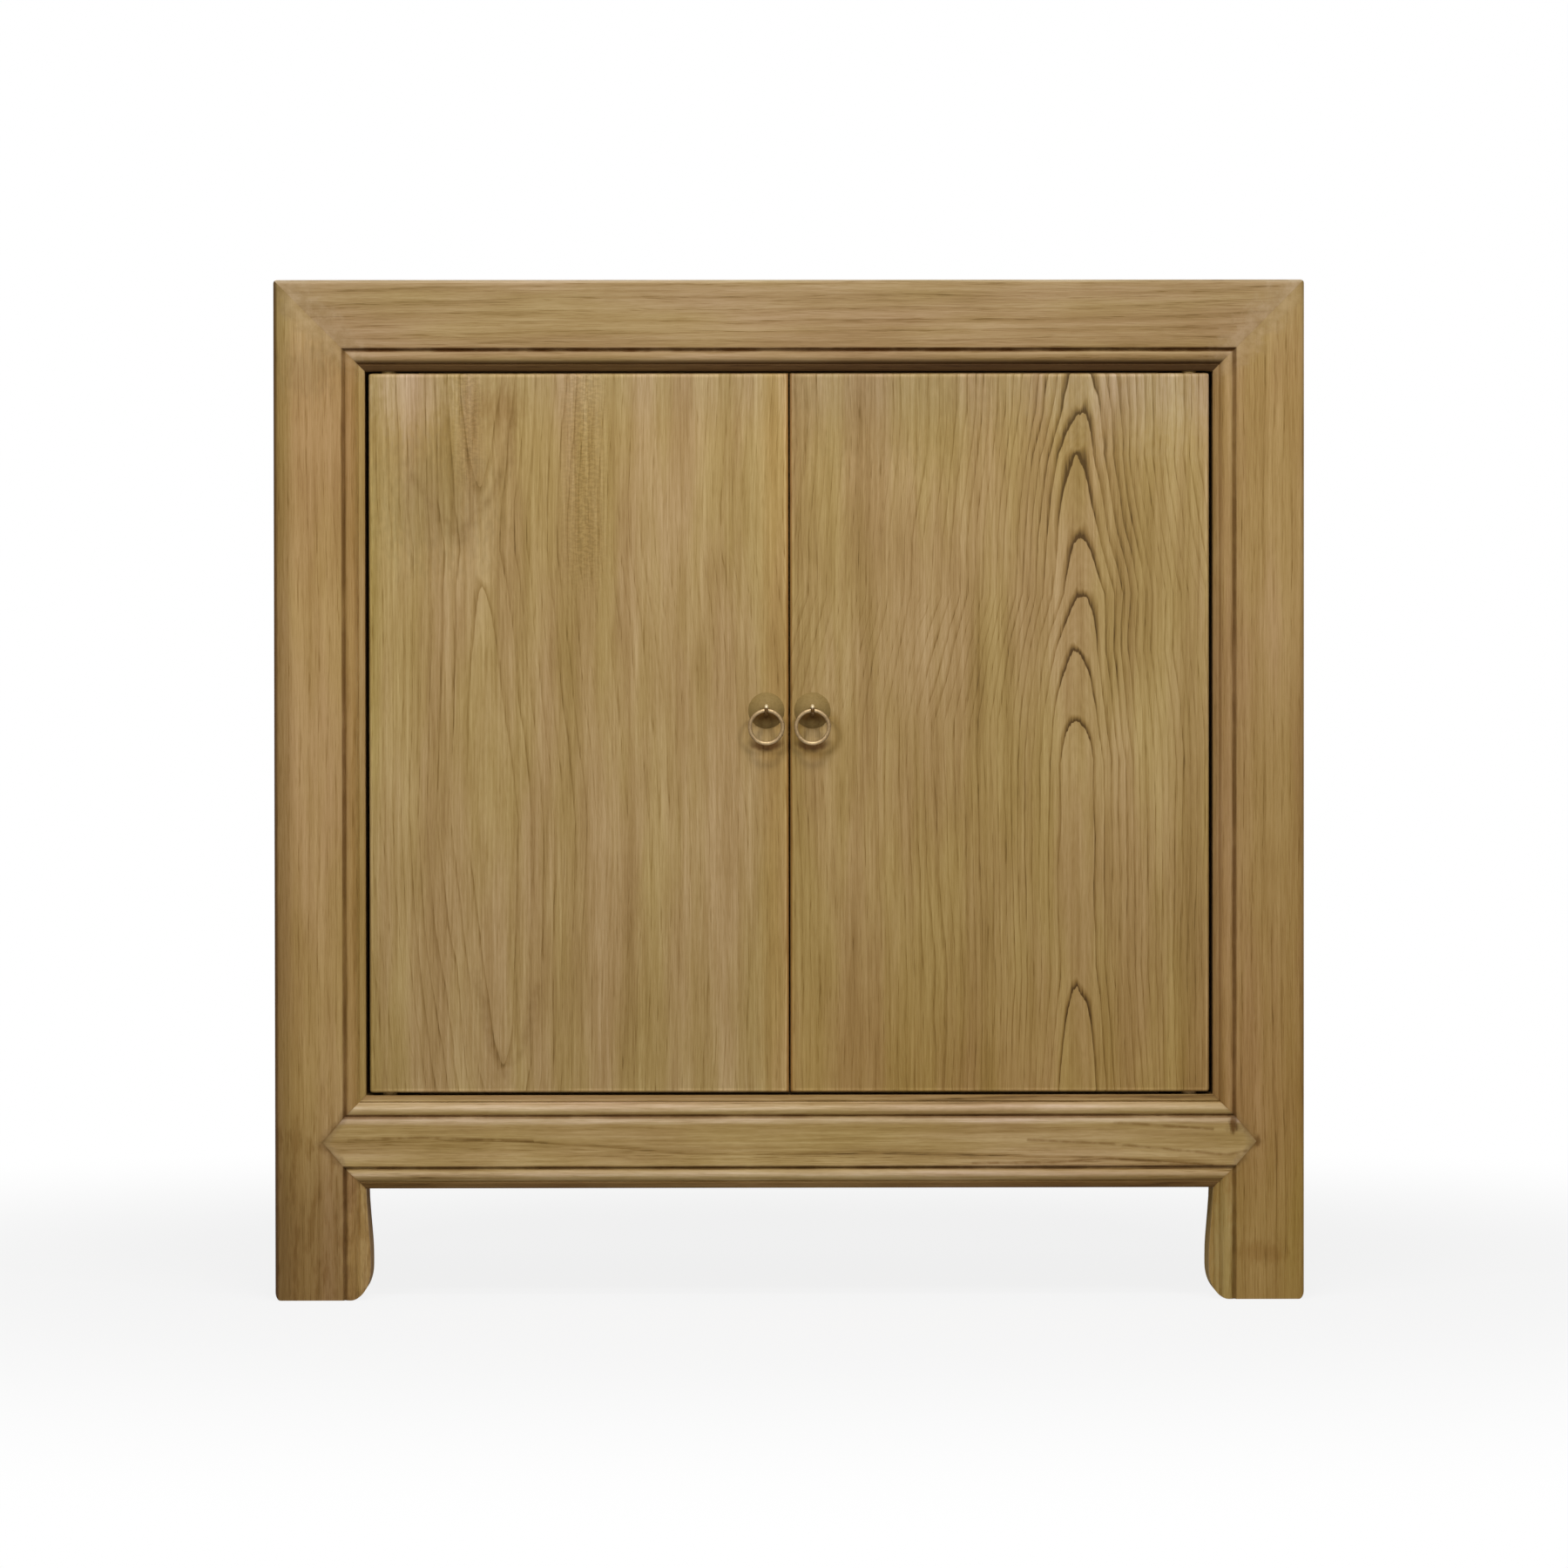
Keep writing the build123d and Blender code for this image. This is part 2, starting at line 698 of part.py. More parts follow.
def dovetail(clearance=0.0, projecting=0.0):
    """Section of a batten, wider inside the door than at its face."""
    half = batten_width / 2 - batten_flare + clearance
    Polygon(
        (-half, projecting),
        (-half, 0),
        (-half - batten_flare, -batten_let_in - clearance),
        (half + batten_flare, -batten_let_in - clearance),
        (half, 0),
        (half, projecting),
        align=None,
    )


def batten_plane(z):
    """Plane across the door: local X up, local Y out of the door's back."""
    return Plane(origin=(batten_x[0], door_back, z), x_dir=(0, 0, -1), z_dir=(1, 0, 0))


with BuildPart() as left_door_board:
    with BuildSketch(Plane.XY.offset(door_bottom)):
        with Locations(((door_left + door_right) / 2, (door_front + door_back) / 2)):
            outline = Rectangle(door_right - door_left, door_thickness)
        fillet(outline.vertices().sort_by(Axis.X)[:2], door_edge_radius)
        fillet(outline.vertices().sort_by(Axis.X)[2:], door_arris)
    extrude(amount=door_top - door_bottom)
    face_ends = left_door_board.edges().filter_by(Axis.X).group_by(Axis.Y)[0]
    fillet(face_ends, door_arris)
    for z in batten_heights:
        with BuildSketch(batten_plane(z)):
            dovetail(clearance=fit, projecting=overcut)
        extrude(amount=batten_x[1] - batten_x[0], mode=Mode.SUBTRACT)
    for z in (door_bottom + pivot_embedded / 2, door_top - pivot_embedded / 2):
        with Locations((pivot_x, pivot_y, z)):
            Cylinder(
                pivot_diameter / 2 + dowel_clearance, pivot_embedded, mode=Mode.SUBTRACT
            )
    with Locations(Location((-pull_offset, pivot_y, pull_height), (90, 0, 0))):
        Cylinder(pin_diameter / 2 + pin_clearance, door_thickness, mode=Mode.SUBTRACT)
finish(left_door_board, "left_door_board")
mirror_to_right(left_door_board, "right_door_board")

with BuildPart() as left_door_pivots:
    dowel_length = pivot_length + pivot_embedded
    dowel_middle = dowel_length / 2 - pivot_length
    for z in (door_bottom + dowel_middle, door_top - dowel_middle):
        with Locations((pivot_x, pivot_y, z)):
            Cylinder(pivot_diameter / 2, dowel_length)
    chamfer(left_door_pivots.edges().filter_by(GeomType.CIRCLE), eased_edge)
finish(left_door_pivots, "left_door_pivots")
mirror_to_right(left_door_pivots, "right_door_pivots")

with BuildPart() as left_door_battens:
    for z in batten_heights:
        with BuildSketch(batten_plane(z)):
            dovetail(projecting=batten_height)
        extrude(amount=batten_x[1] - batten_x[0])
    chamfer(left_door_battens.edges().group_by(Axis.Y)[-1], eased_edge)
finish(left_door_battens, "left_door_battens")
mirror_to_right(left_door_battens, "right_door_battens")

# ---- Ring pulls ---------------------------------------------------------------------
dome_radius = (plate_radius**2 + plate_dome**2) / (2 * plate_dome)
eye_middle = (
    -pull_offset,
    door_front - eye_stand_off,
    pull_height + eye_radius - eye_wire / 2 - ring_wire / 2 - ring_clearance,
)
ring_top = (-pull_offset, eye_middle[1], pull_height)

with BuildPart() as left_pull_plate:
    with Locations((-pull_offset, door_front + dome_radius - plate_dome, pull_height)):
        Sphere(dome_radius)
        Sphere(dome_radius - plate_wall, mode=Mode.SUBTRACT)
    split(bisect_by=Plane(origin=(0, door_front, 0), z_dir=(0, -1, 0)), keep=Keep.TOP)
    with Locations(Location((-pull_offset, door_front, pull_height), (90, 0, 0))):
        Cylinder(pin_diameter / 2 + pin_clearance, 2 * (plate_dome + overcut), mode=Mode.SUBTRACT)
finish(left_pull_plate, "left_pull_plate")
mirror_to_right(left_pull_plate, "right_pull_plate")

with BuildPart() as left_pull_eye:
    with Locations(Location(eye_middle, (0, 90, 0))):
        Torus(eye_radius, eye_wire / 2)
    pin_start = eye_middle[1] + eye_radius
    with Locations(Location((-pull_offset, (pin_start + door_back) / 2, pull_height), (90, 0, 0))):
        Cylinder(pin_diameter / 2, door_back - pin_start)
    # The two legs of the pin are opened and hammered flat behind the door.
    block(
        (-pull_offset - pin_leg_length, -pull_offset + pin_leg_length),
        (door_back, door_back + pin_leg_thickness),
        (pull_height - pin_leg_width / 2, pull_height + pin_leg_width / 2),
    )
finish(left_pull_eye, "left_pull_eye")
mirror_to_right(left_pull_eye, "right_pull_eye")

with BuildPart() as left_pull_ring:
    with Locations(Location((ring_top[0], ring_top[1], ring_top[2] - ring_radius), (90, 0, 0))):
        Torus(ring_radius, ring_wire / 2)
finish(left_pull_ring, "left_pull_ring")
mirror_to_right(left_pull_ring, "right_pull_ring")

print("door pivot at", pivot_x, pivot_y, "ring pivot at", ring_top)
print("door opening", opening_left, rail_top, opening_top, "back of doors", door_back)
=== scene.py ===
# %% [markdown]
# # A kang cabinet in oiled elm
# A kang cabinet is a low two-door cupboard that stood on or beside the heated brick
# bed (the kang) of a northern Chinese house. Its frame, panels and doors come from the
# CAD model, each as a piece of its own. Blender's work here is the finish: elm with its
# porous rings, worn edges, stained grooves, and small brass pulls. No shape is modelled
# anew, so every finish is a material on a piece of the frame.

# %% Start from the CAD frame
import math

import bmesh
import bpy
from mathutils import Matrix, Vector


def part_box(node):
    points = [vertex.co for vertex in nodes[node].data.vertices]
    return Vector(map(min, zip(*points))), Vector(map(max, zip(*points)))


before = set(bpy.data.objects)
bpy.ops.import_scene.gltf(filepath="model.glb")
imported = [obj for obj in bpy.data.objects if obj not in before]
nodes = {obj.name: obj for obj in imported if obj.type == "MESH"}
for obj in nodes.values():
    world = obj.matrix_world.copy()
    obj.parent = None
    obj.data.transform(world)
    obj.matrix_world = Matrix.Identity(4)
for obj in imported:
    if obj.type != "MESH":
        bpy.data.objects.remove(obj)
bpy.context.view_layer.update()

MM = 0.001
X, Y, Z = 0, 1, 2
front_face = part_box("front_left_post")[0].y / MM
door_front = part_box("right_door_board")[0].y / MM
print("posts' front at", round(front_face, 2), "mm, doors' at", round(door_front, 2), "mm")

# %% [markdown]
# ## Camera
# The cabinet is seen straight from the front, from a little below the middle of its
# doors. A long lens far away keeps its sides almost parallel, as in a catalogue. A
# camera turned in whole degrees would look too perfect: the small angles of pitch, yaw
# and roll are those of a tripod set up by eye.

# %% Camera
camera_data = bpy.data.cameras.new("camera")
camera_data.sensor_width = 36.0
camera_data.lens = 126.74
camera_data.clip_end = 50.0
camera = bpy.data.objects.new("camera", camera_data)
bpy.context.scene.collection.objects.link(camera)
bpy.context.scene.camera = camera
camera_distance, camera_height, camera_aside = 4.5, 0.4805, -0.0356
camera.location = (camera_aside, front_face * MM - camera_distance, camera_height)
pitch, yaw, roll = (math.radians(angle) for angle in (0.756, 0.3965, 0.0644))
camera.rotation_euler = (
    Matrix.Rotation(-yaw, 3, "Z")
    @ Matrix.Rotation(math.pi / 2 - pitch, 3, "X")
    @ Matrix.Rotation(-roll, 3, "Z")
).to_euler()
print("camera at", tuple(round(v, 3) for v in camera.location))

# %% [markdown]
# ## A small language for shaders
# A finish is a sum of many patterns, and wiring their Math nodes by hand hides the
# idea. `Wire` wraps one socket of a shader: `a * 2 + b` adds the Math nodes by itself,
# and `node` adds any other kind, with its settings first and then its inputs.

# %% Wire: a socket that can be added and multiplied
class Wire:
    """One output socket of a shader."""

    def __init__(self, socket):
        self.socket = socket

    def node(self, kind, settings=None, inputs=None, output=0):
        """Add a node to this wire's shader and give one of its outputs."""
        made = self.socket.id_data.nodes.new(kind)
        for name, value in (settings or {}).items():
            if name == "stops":
                set_stops(made.color_ramp, value)
            else:
                setattr(made, name, value)
        for key, value in (inputs or {}).items():
            plug(made.inputs[key], value)
        return Wire(made.outputs[output])

    def maths(self, operation, *values):
        """Add a Math node."""
        return self.node("ShaderNodeMath", {"operation": operation}, dict(enumerate(values)))

    def __add__(self, other):
        return self.maths("ADD", self, other)

    def __sub__(self, other):
        return self.maths("SUBTRACT", self, other)

    def __rsub__(self, other):
        return self.maths("SUBTRACT", other, self)

    def __mul__(self, other):
        return self.maths("MULTIPLY", self, other)

    def __truediv__(self, other):
        return self.maths("DIVIDE", self, other)

    def __rtruediv__(self, other):
        return self.maths("DIVIDE", other, self)

    def __pow__(self, other):
        return self.maths("POWER", self, other)

    def __abs__(self):
        return self.maths("ABSOLUTE", self)

    __radd__ = __add__
    __rmul__ = __mul__

    def rounded_down(self):
        """The whole number below."""
        return self.maths("FLOOR", self)

    def fraction(self):
        """What is left above the whole number."""
        return self.maths("FRACT", self)

    def root(self):
        """The square root."""
        return self.maths("SQRT", self)

    def at_least(self, other):
        """The larger of this and another."""
        return self.maths("MAXIMUM", self, other)

    def at_most(self, other):
        """The smaller of this and another."""
        return self.maths("MINIMUM", self, other)

    def ramp(self, start, end, first=0.0, last=1.0):
        """Goes smoothly from first to last while this wire goes from start to end."""
        return self.node(
            "ShaderNodeMapRange",
            {"interpolation_type": "SMOOTHSTEP"},
            {0: self, 1: start, 2: end, 3: first, 4: last},
        )

    def near(self, place, width):
        """1 at a place, falling smoothly to 0 within a width on both sides."""
        return abs(self - place).ramp(0.0, width, 1.0, 0.0)


def plug(socket, value):
    """Link a wire to an input, or set the input to a plain value."""
    if isinstance(value, Wire):
        socket.id_data.links.new(value.socket, socket)
    else:
        socket.default_value = value


def set_stops(ramp, stops):
    """Place a colour ramp's stops, given as (position, colour)."""
    while len(ramp.elements) < len(stops):
        ramp.elements.new(1.0)
    for element, (position, colour) in zip(ramp.elements, stops):
        element.position = position
        element.color = (*colour, 1.0)


print("a wire knows", sum(callable(step) for step in vars(Wire).values()), "kinds of step")

# %% [markdown]
# ## Places, noise and colours
# Every pattern starts from a point's own place on the piece, in millimetres, so that a
# number in a finish is a size on the cabinet, and a door that opens takes its grain
# along. Images of wood could be laid on instead, but they would stretch and repeat
# on mouldings. Noise drawn out in one direction makes grain, pores and streaks alike.

# %% Places and noise
def place_in_mm(material):
    """Where a point of the piece is, in millimetres, as three wires."""
    tree = material.node_tree
    coordinates = Wire(tree.nodes.new("ShaderNodeTexCoord").outputs["Object"])
    inputs = {0: coordinates, 1: (1 / MM,) * 3}
    in_mm = coordinates.node("ShaderNodeVectorMath", {"operation": "MULTIPLY"}, inputs)
    return [in_mm.node("ShaderNodeSeparateXYZ", None, {0: in_mm}, axis) for axis in (X, Y, Z)]


def spot(x, y, z):
    """Three wires or numbers as one vector."""
    wire = next(v for v in (x, y, z) if isinstance(v, Wire))
    return wire.node("ShaderNodeCombineXYZ", None, {0: x, 1: y, 2: z})


def noise(where, detail=2.0, roughness=0.5):
    """Soft noise, about 0.5 on average, one wave per unit of length."""
    inputs = {"Vector": where, "Scale": 1.0, "Detail": detail, "Roughness": roughness}
    return where.node("ShaderNodeTexNoise", {"noise_dimensions": "3D"}, inputs)


def lottery(number, seed):
    """The same random value, 0 to 1, for all points with the same number."""
    ticket = number + seed
    return ticket.node("ShaderNodeTexWhiteNoise", {"noise_dimensions": "1D"}, {"W": ticket})


print("patterns count in steps of", MM, "m")

# %% Colours
def blend(factor, first, second, mode="MIX"):
    """Mix two colours, given as wires or as linear red, green and blue."""
    wire = next(v for v in (factor, first, second) if isinstance(v, Wire))
    first, second = (v if isinstance(v, Wire) else (*v, 1.0) for v in (first, second))
    settings = {"data_type": "RGBA", "blend_type": mode}
    return wire.node("ShaderNodeMix", settings, {0: factor, 6: first, 7: second}, 2)


def dyed(colour, dye, amount=1.0):
    """A colour multiplied by a dye."""
    return blend(amount, colour, dye, "MULTIPLY")


def scaled(colour, amount):
    """A colour times a number."""
    settings = {"operation": "SCALE"}
    return colour.node("ShaderNodeVectorMath", settings, {0: colour, "Scale": amount})


def new_material(name):
    """A material with its shader; gives both."""
    material = bpy.data.materials.new(name)
    material.use_nodes = True
    return material, material.node_tree.nodes["Principled BSDF"]


print("colours are blended, dyed and scaled as light, not as paint")

# %% [markdown]
# ## White surround
# A catalogue shows furniture against nothing at all. A white world alone would also
# flood the wood with light from every side and flatten its mouldings, so only the eye
# and the shine see it at full strength; to the wood the room is nearly dark.

# %% Surround
def surround_for_eye(tree, seen, otherwise):
    """Shader that shows one thing to the eye and to mirrors, another to all other light."""
    path = tree.nodes.new("ShaderNodeLightPath")
    seen_directly = Wire(path.outputs["Is Camera Ray"])
    for name in ("Is Glossy Ray", "Is Transmission Ray"):
        seen_directly = seen_directly.at_least(Wire(path.outputs[name]))
    mixed = {0: seen_directly, 1: otherwise, 2: seen}
    return seen_directly.node("ShaderNodeMixShader", None, mixed)


def white_light(tree, strength):
    """White light from all around."""
    background = tree.nodes.new("ShaderNodeBackground")
    background.inputs["Color"].default_value = (1.0, 1.0, 1.0, 1.0)
    background.inputs["Strength"].default_value = strength
    return Wire(background.outputs[0])


world = bpy.data.worlds.new("studio")
bpy.context.scene.world = world
world.use_nodes = True
world_tree = world.node_tree
world_tree.nodes.clear()
full_strength, room_strength = 1.0, 0.18
surround = surround_for_eye(
    world_tree,
    white_light(world_tree, full_strength),
    white_light(world_tree, room_strength),
)
plug(world_tree.nodes.new("ShaderNodeOutputWorld").inputs["Surface"], surround)
print("white surround at", full_strength, "and the room's own light at", room_strength)

# %% [markdown]
# ## Lamps
# Soft boxes, as in a studio. A broad one hangs above and in front, which shades the
# beads from above; one on each side lights the mouldings that run up the posts; and a
# weak, very broad one fills in from the front, so that the grooves don't go black.

# %% Lamps
def lamp(name, place, aim_height, width, height, power):
    """A rectangular soft box, aimed at a height on the middle of the cabinet's front."""
    data = bpy.data.lights.new(name, "AREA")
    data.shape = "RECTANGLE"
    data.size, data.size_y = width, height
    data.energy = power
    holder = bpy.data.objects.new(name, data)
    bpy.context.scene.collection.objects.link(holder)
    holder.location = place
    aim = Vector((0.0, front_face * MM, aim_height)) - Vector(place)
    holder.rotation_euler = aim.to_track_quat("-Z", "Y").to_euler()
    print(name, "of", power, "W at", place)


lamp("soft box above", (0.0, -1.35, 2.3), 0.5, 0.7, 0.35, 21.0)
for side in (-1.0, 1.0):
    lamp("lamp at the side", (side * 0.96, -1.56, 1.4), 0.5, 0.25, 0.25, 8.0)
lamp("fill from the front", (0.0, -3.2, 1.2), 0.45, 2.4, 1.8, 5.4)

# %% [markdown]
# ## Elm
# Elm is ring-porous: each year begins with a band of wide pores, which oil and dust
# turn into a sharp dark line, and ends in dense pale wood. A board is a slice through
# nested cones of such rings. Cut near the heart, the slice shows arches one inside the
# other; cut near the bark or across the radius it shows straight lines. So each board
# gets one number that says in which year its wood grew, and all the rest (dark lines,
# pores, fibres, the feathery bands between the lines, colour and bump) follows from it.

# %% The year lines of plain boards
crown_spread = 5.0


def straight_rings(heart_across, heart_below, spacing, lean=0.0, dip=0.0, sway=3.0):
    """Rings of a board whose log's heart is this far aside and below, in mm.

    Lean and dip say how the heart climbs across and into the board, in mm per mm.
    """

    def year_of(along, across, depth, seed):
        slow = noise(spot(across * 0.011, depth * 0.011 + seed, along * 0.0033)) - 0.5
        quick = noise(spot(across * 0.09, depth * 0.09 + seed, along * 0.011)) - 0.5
        wavering = across + slow * (sway * 6.0) + quick * (sway * 0.4)
        side = wavering - along * lean - heart_across
        below = depth - along * dip + heart_below
        distance = (side * side + below * below).root()
        pace = 1.0 / spacing
        if dip:
            # Where the saw met the rings at a low angle the bands spread, but not fully.
            across_grain = side / distance
            along_grain = below / distance * (dip * crown_spread)
            pace = (across_grain * across_grain + along_grain * along_grain).root() / spacing
        clarity, boldness = 1.0, 0.0
        return distance / spacing, pace, clarity, boldness

    return year_of


print("crowns of plain boards spread", crown_spread, "times")

# %% [markdown]
# ### Boards with arches
# A wide door board shows its log's heart as a column of pointed arches, and the eye
# goes there first. Nested cones alone would give smooth parabolas. Here the year on the
# column's axis is told height by height, so that each arch has its own place, and
# shapes such as how round the tips are and how the column bends are told the same way.

# %% The year lines of the doors' arched boards
def follow(wire, points):
    """Straight lines through (place, value) points, level beyond both ends."""
    points = sorted(points)
    total = points[0][1]
    for (start, first), (end, last) in zip(points, points[1:]):
        inputs = {0: wire, 1: start, 2: end, 3: 0.0, 4: last - first}
        total = wire.node("ShaderNodeMapRange", None, inputs) + total
    return total


level = ((0.0, 0.0), (1.0, 0.0))


def arched_rings(
    axis, years, spacing, roundness, reach, pace_up, bold, crowns, lean=level, sway=3.0
):
    """Rings cut near the heart: arches on an axis, with the year on it given by height.

    The years are bold within two distances from the axis, on its left and right, and
    crowns say by height how bold the arches themselves are.
    """
    bold_left, bold_right, boldest = bold

    def year_of(along, across, depth, seed):
        slow = noise(spot(across * 0.010, depth * 0.010 + seed, along * 0.0040)) - 0.5
        quick = noise(spot(across * 0.075, depth * 0.075 + seed, along * 0.012)) - 0.5
        wavering = across + slow * (sway * 5.0) + quick * (sway * 1.6)
        side = wavering - follow(along, axis)
        # The arches' outlines waver up and down, and some lean to one side.
        uneven = spot(across * 0.075, depth * 0.075 + seed, along * 0.014)
        lift = (noise(uneven, 4.0, 0.62) - 0.5) * 26.0
        tilt = follow(along, lean) * side.at_least(-20.0).at_most(20.0)
        on_axis = follow(along + lift - tilt, years)
        # Beside the column the years run straight up, at their usual spacing.
        round_top = follow(along, roundness)
        fading = 1.0 / (side * side * (1.0 / reach**2) + 1.0)
        hypotenuse = (side * side + round_top * round_top).root()
        drift = noise(spot(across * 0.016, depth * 0.016 + seed + 5.0, along * 0.0015), 1.0)
        year = on_axis * fading + (hypotenuse - round_top) / spacing
        year = year + (1.0 - fading) * drift * 3.0 + (depth - door_front) * 0.12
        slope = side / hypotenuse / spacing
        pace = (slope * slope + fading * fading * pace_up**2).root()
        clarity = fading * 0.75 + 0.25
        right_end = side.ramp(bold_right + 25.0, bold_right, 0.0, boldest)
        beside = side.ramp(-bold_left - 22.0, -bold_left) * right_end
        crown = abs(side).ramp(10.0, 30.0, 1.0, 0.0) * follow(along, crowns)
        boldness = (beside * along.ramp(300.0, 520.0, 0.45, 1.0)).at_least(crown)
        return year, pace, clarity, boldness

    return year_of


print("arches are told height by height")

# %% [markdown]
# ### From the year to the wood
# Each layer of the finish can be seen on a real board with a lens: the dark porous band
# that opens a year, the short open pores, fibres, streaks and clouds of colour. Each is
# a noise drawn out along the grain or a function of the year. Added up they give one
# depth of tone, which a colour ramp turns into the browns of oiled elm, and the same
# layers give the bump, so that a dark line is also a groove.

# %% Elm from its year number
elm_tones = [
    (0.00, (0.506, 0.361, 0.170)),
    (0.32, (0.375, 0.247, 0.094)),
    (0.62, (0.262, 0.158, 0.048)),
    (1.00, (0.090, 0.048, 0.012)),
]
cool_tint, warm_tint = (0.990, 1.000, 0.88), (1.015, 0.985, 1.04)
narrow_band, band_range, bold_band = 1.4, 1.8, 2.8


def elm(name, axes, year_of, seed, tone=1.0, lines=1.0, calm=1.0, marks=(), veils=()):
    """Oiled elm. Axes name which of X, Y, Z run along the grain, across it and into it.

    Marks are dyes on top of the grain; a veil is polish or dirt that hides it.
    """
    material, shader = new_material(name)
    xyz = place_in_mm(material)
    along, across, depth = (xyz[axis] for axis in axes)
    year, pace, clarity, boldness = year_of(along, across, depth, seed)
    part, which = year.fraction(), year.rounded_down()
    # The first wood of a year is a dark band, sharp on its inner side, 1 to 3 mm wide.
    width = lottery(which, seed + 9.0) * band_range + narrow_band + boldness * bold_band
    fading = (1.0 - part / pace / width).at_least(0.0)
    early = (fading**1.2 + ((1.0 - part) / pace).ramp(0.0, 0.8, 1.0, 0.0)).at_most(1.0)

    def grain(fineness, stretch, offset, detail=2.0):
        """Noise of about -0.5 to 0.5: so many waves per mm across the grain and along it."""
        where = spot(across * fineness, depth * fineness + seed + offset, along * stretch)
        return noise(where, detail, 0.55) - 0.5

    # Strong years fade and return along the board.
    patchy = grain(0.05, 0.009, 11.0) * 2.2 + 0.75
    strength = (lottery(which, seed) * 0.9 + 0.1).at_least(boldness * 0.8)
    year_line = early * strength * patchy.at_least(boldness * 0.7) * clarity * lines
    # Pores: short open grooves, thickest in the first wood of a year.
    pores = grain(1.15, 0.042, 0.0, 1.0).ramp(0.03, 0.20) * (early * 0.7 + 0.3)
    fine = grain(2.6, 0.09, 2.0, 1.0).ramp(0.0, 0.22)
    # Feathery bands between the year lines.
    feather = abs((year * 4.0 + grain(0.22, 0.05, 4.0) * 2.4).fraction() - 0.5) * 2.0
    fibre = grain(0.55, 0.016, 6.0, 3.0) * calm
    streak = grain(0.15, 0.0045, 8.0) * calm
    band = grain(0.04, 0.0016, 9.0)
    cloud = grain(0.013, 0.007, 10.0)
    depth_of_tone = (
        year_line * 0.50
        + pores * 0.26
        + fine * 0.10
        + fibre * 0.95
        + streak * 0.80
        + band * 0.50
        + cloud * 0.40
        + feather * 0.07
        + 0.20
    )
    colour = depth_of_tone.node("ShaderNodeValToRGB", {"stops": elm_tones}, {0: depth_of_tone})
    tint = blend(grain(0.03, 0.004, 13.0).ramp(-0.18, 0.18), cool_tint, warm_tint)
    colour = scaled(dyed(colour, tint), tone)
    for veil in veils:
        cover, cover_colour = veil(*xyz)
        colour = blend(cover, colour, cover_colour)
    for mark in marks:
        mask, dye, amount = mark(*xyz)
        colour = dyed(colour, dye, mask * amount)
    plug(shader.inputs["Base Color"], colour)
    # Only the front is waxed and rubbed smooth.
    unpolished = xyz[Y].ramp(front_face + 6.0, front_face + 12.0, 0.52, 0.78)
    plug(shader.inputs["Roughness"], pores * 0.2 + fibre * 0.3 + year_line * 0.06 + unpolished)
    shader.inputs["Specular IOR Level"].default_value = 0.16
    height = fibre * 0.10 - pores * 0.12 - fine * 0.03 - year_line * 0.10 + cloud * 0.25
    bump = {"Strength": 0.9, "Distance": MM, "Height": height}
    plug(shader.inputs["Normal"], height.node("ShaderNodeBump", None, bump))
    return material


def dress(material, *names):
    """Give a finish to pieces of the CAD frame."""
    for name in names:
        nodes[name].data.materials.clear()
        nodes[name].data.materials.append(material)
    print(material.name, "on", ", ".join(names))


print("elm goes from pale to dark in", len(elm_tones), "tones")

# %% [markdown]
# ## Stain, wear, seams and painted shade
# Decades of dust and polish collect where a cloth can't reach: in the groove, in the
# quirk beside the bead, along the joints. Painted shade darkens the grooves further, and
# the band between each bead and the opening, where the bead keeps the light off. Where
# hands and cloths do reach, on the arrises, the wood turns paler; along the doors' edges
# the pale band is also a painted highlight. These could be painted on an image by hand;
# here each is a small function from the place on the piece to a mask and a dye, so the
# same mark can be put on several pieces, and stays sharp from near by. Marks along
# mouldings and joints are placed from the ends of the frame's own pieces.

# %% Where a mark may lie
# The colour of dust in joints and grooves; in the grooves it also stands for painted shade.
dust = (0.30, 0.19, 0.085)
shade = (0.52, 0.42, 0.28)
front_depth = 10.0


def everywhere(y):
    """No limit."""
    return 1.0


def on_front(y):
    """1 on the front face and its mouldings, 0 further back."""
    return y.ramp(front_face + front_depth - 3.0, front_face + front_depth, 1.0, 0.0)


def on_arris(y):
    """1 on the rounded front edge alone."""
    return y.ramp(front_face + 2.0, front_face + 5.0, 1.0, 0.0)


def in_door_gap(y):
    """1 on the doors' front and where the eye can look between them, 0 further in."""
    return y.ramp(door_front + 3.0, door_front + 9.0, 1.0, 0.0)


print("marks of the front end", front_depth, "mm behind its face")

# %% Where the mouldings and joints are
def end_of(piece, high, axis):
    """The low (0) or high (1) end of a piece along an axis, in mm."""
    return round(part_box(piece)[high][axis] / MM, 1)


leg_swell, moulding, arris = 3.5, 17.0, 0.5
outer_side, cabinet_top = end_of("front_right_post", 1, X), end_of("top_front_rail", 1, Z)
opening_side = end_of("front_right_post", 0, X) + leg_swell
opening_top = end_of("top_front_rail", 0, Z)
door_top = end_of("right_door_board", 1, Z)
rail_bottom, rail_top = (end_of("bottom_front_rail", high, Z) for high in (0, 1))
rail_middle = (rail_bottom + rail_top) / 2
groove_side, groove_top = opening_side + moulding, opening_top + moulding
rail_half = rail_top - moulding - rail_middle
shoulder_tip, shoulder_slope = groove_side + 18.0, 0.857
shoulder = [
    (opening_side, rail_top),
    (groove_side, rail_top - moulding),
    (shoulder_tip, rail_middle),
    (groove_side, rail_bottom + moulding),
    (opening_side, rail_bottom),
]
mitre = [(outer_side - arris, cabinet_top - arris), (opening_side, opening_top)]


def from_side(x, z):
    """Distance from the middle of a post's groove, towards the opening."""
    return groove_side - abs(x)


def from_top(x, z):
    """Distance from the middle of the top rail's groove, towards the opening."""
    return groove_top - z


def from_middle(x, z):
    """Distance from the middle of one of the bottom rail's two grooves, outwards."""
    return abs(z - rail_middle) - rail_half


print("grooves at", groove_side, "mm aside and", groove_top, "mm up")
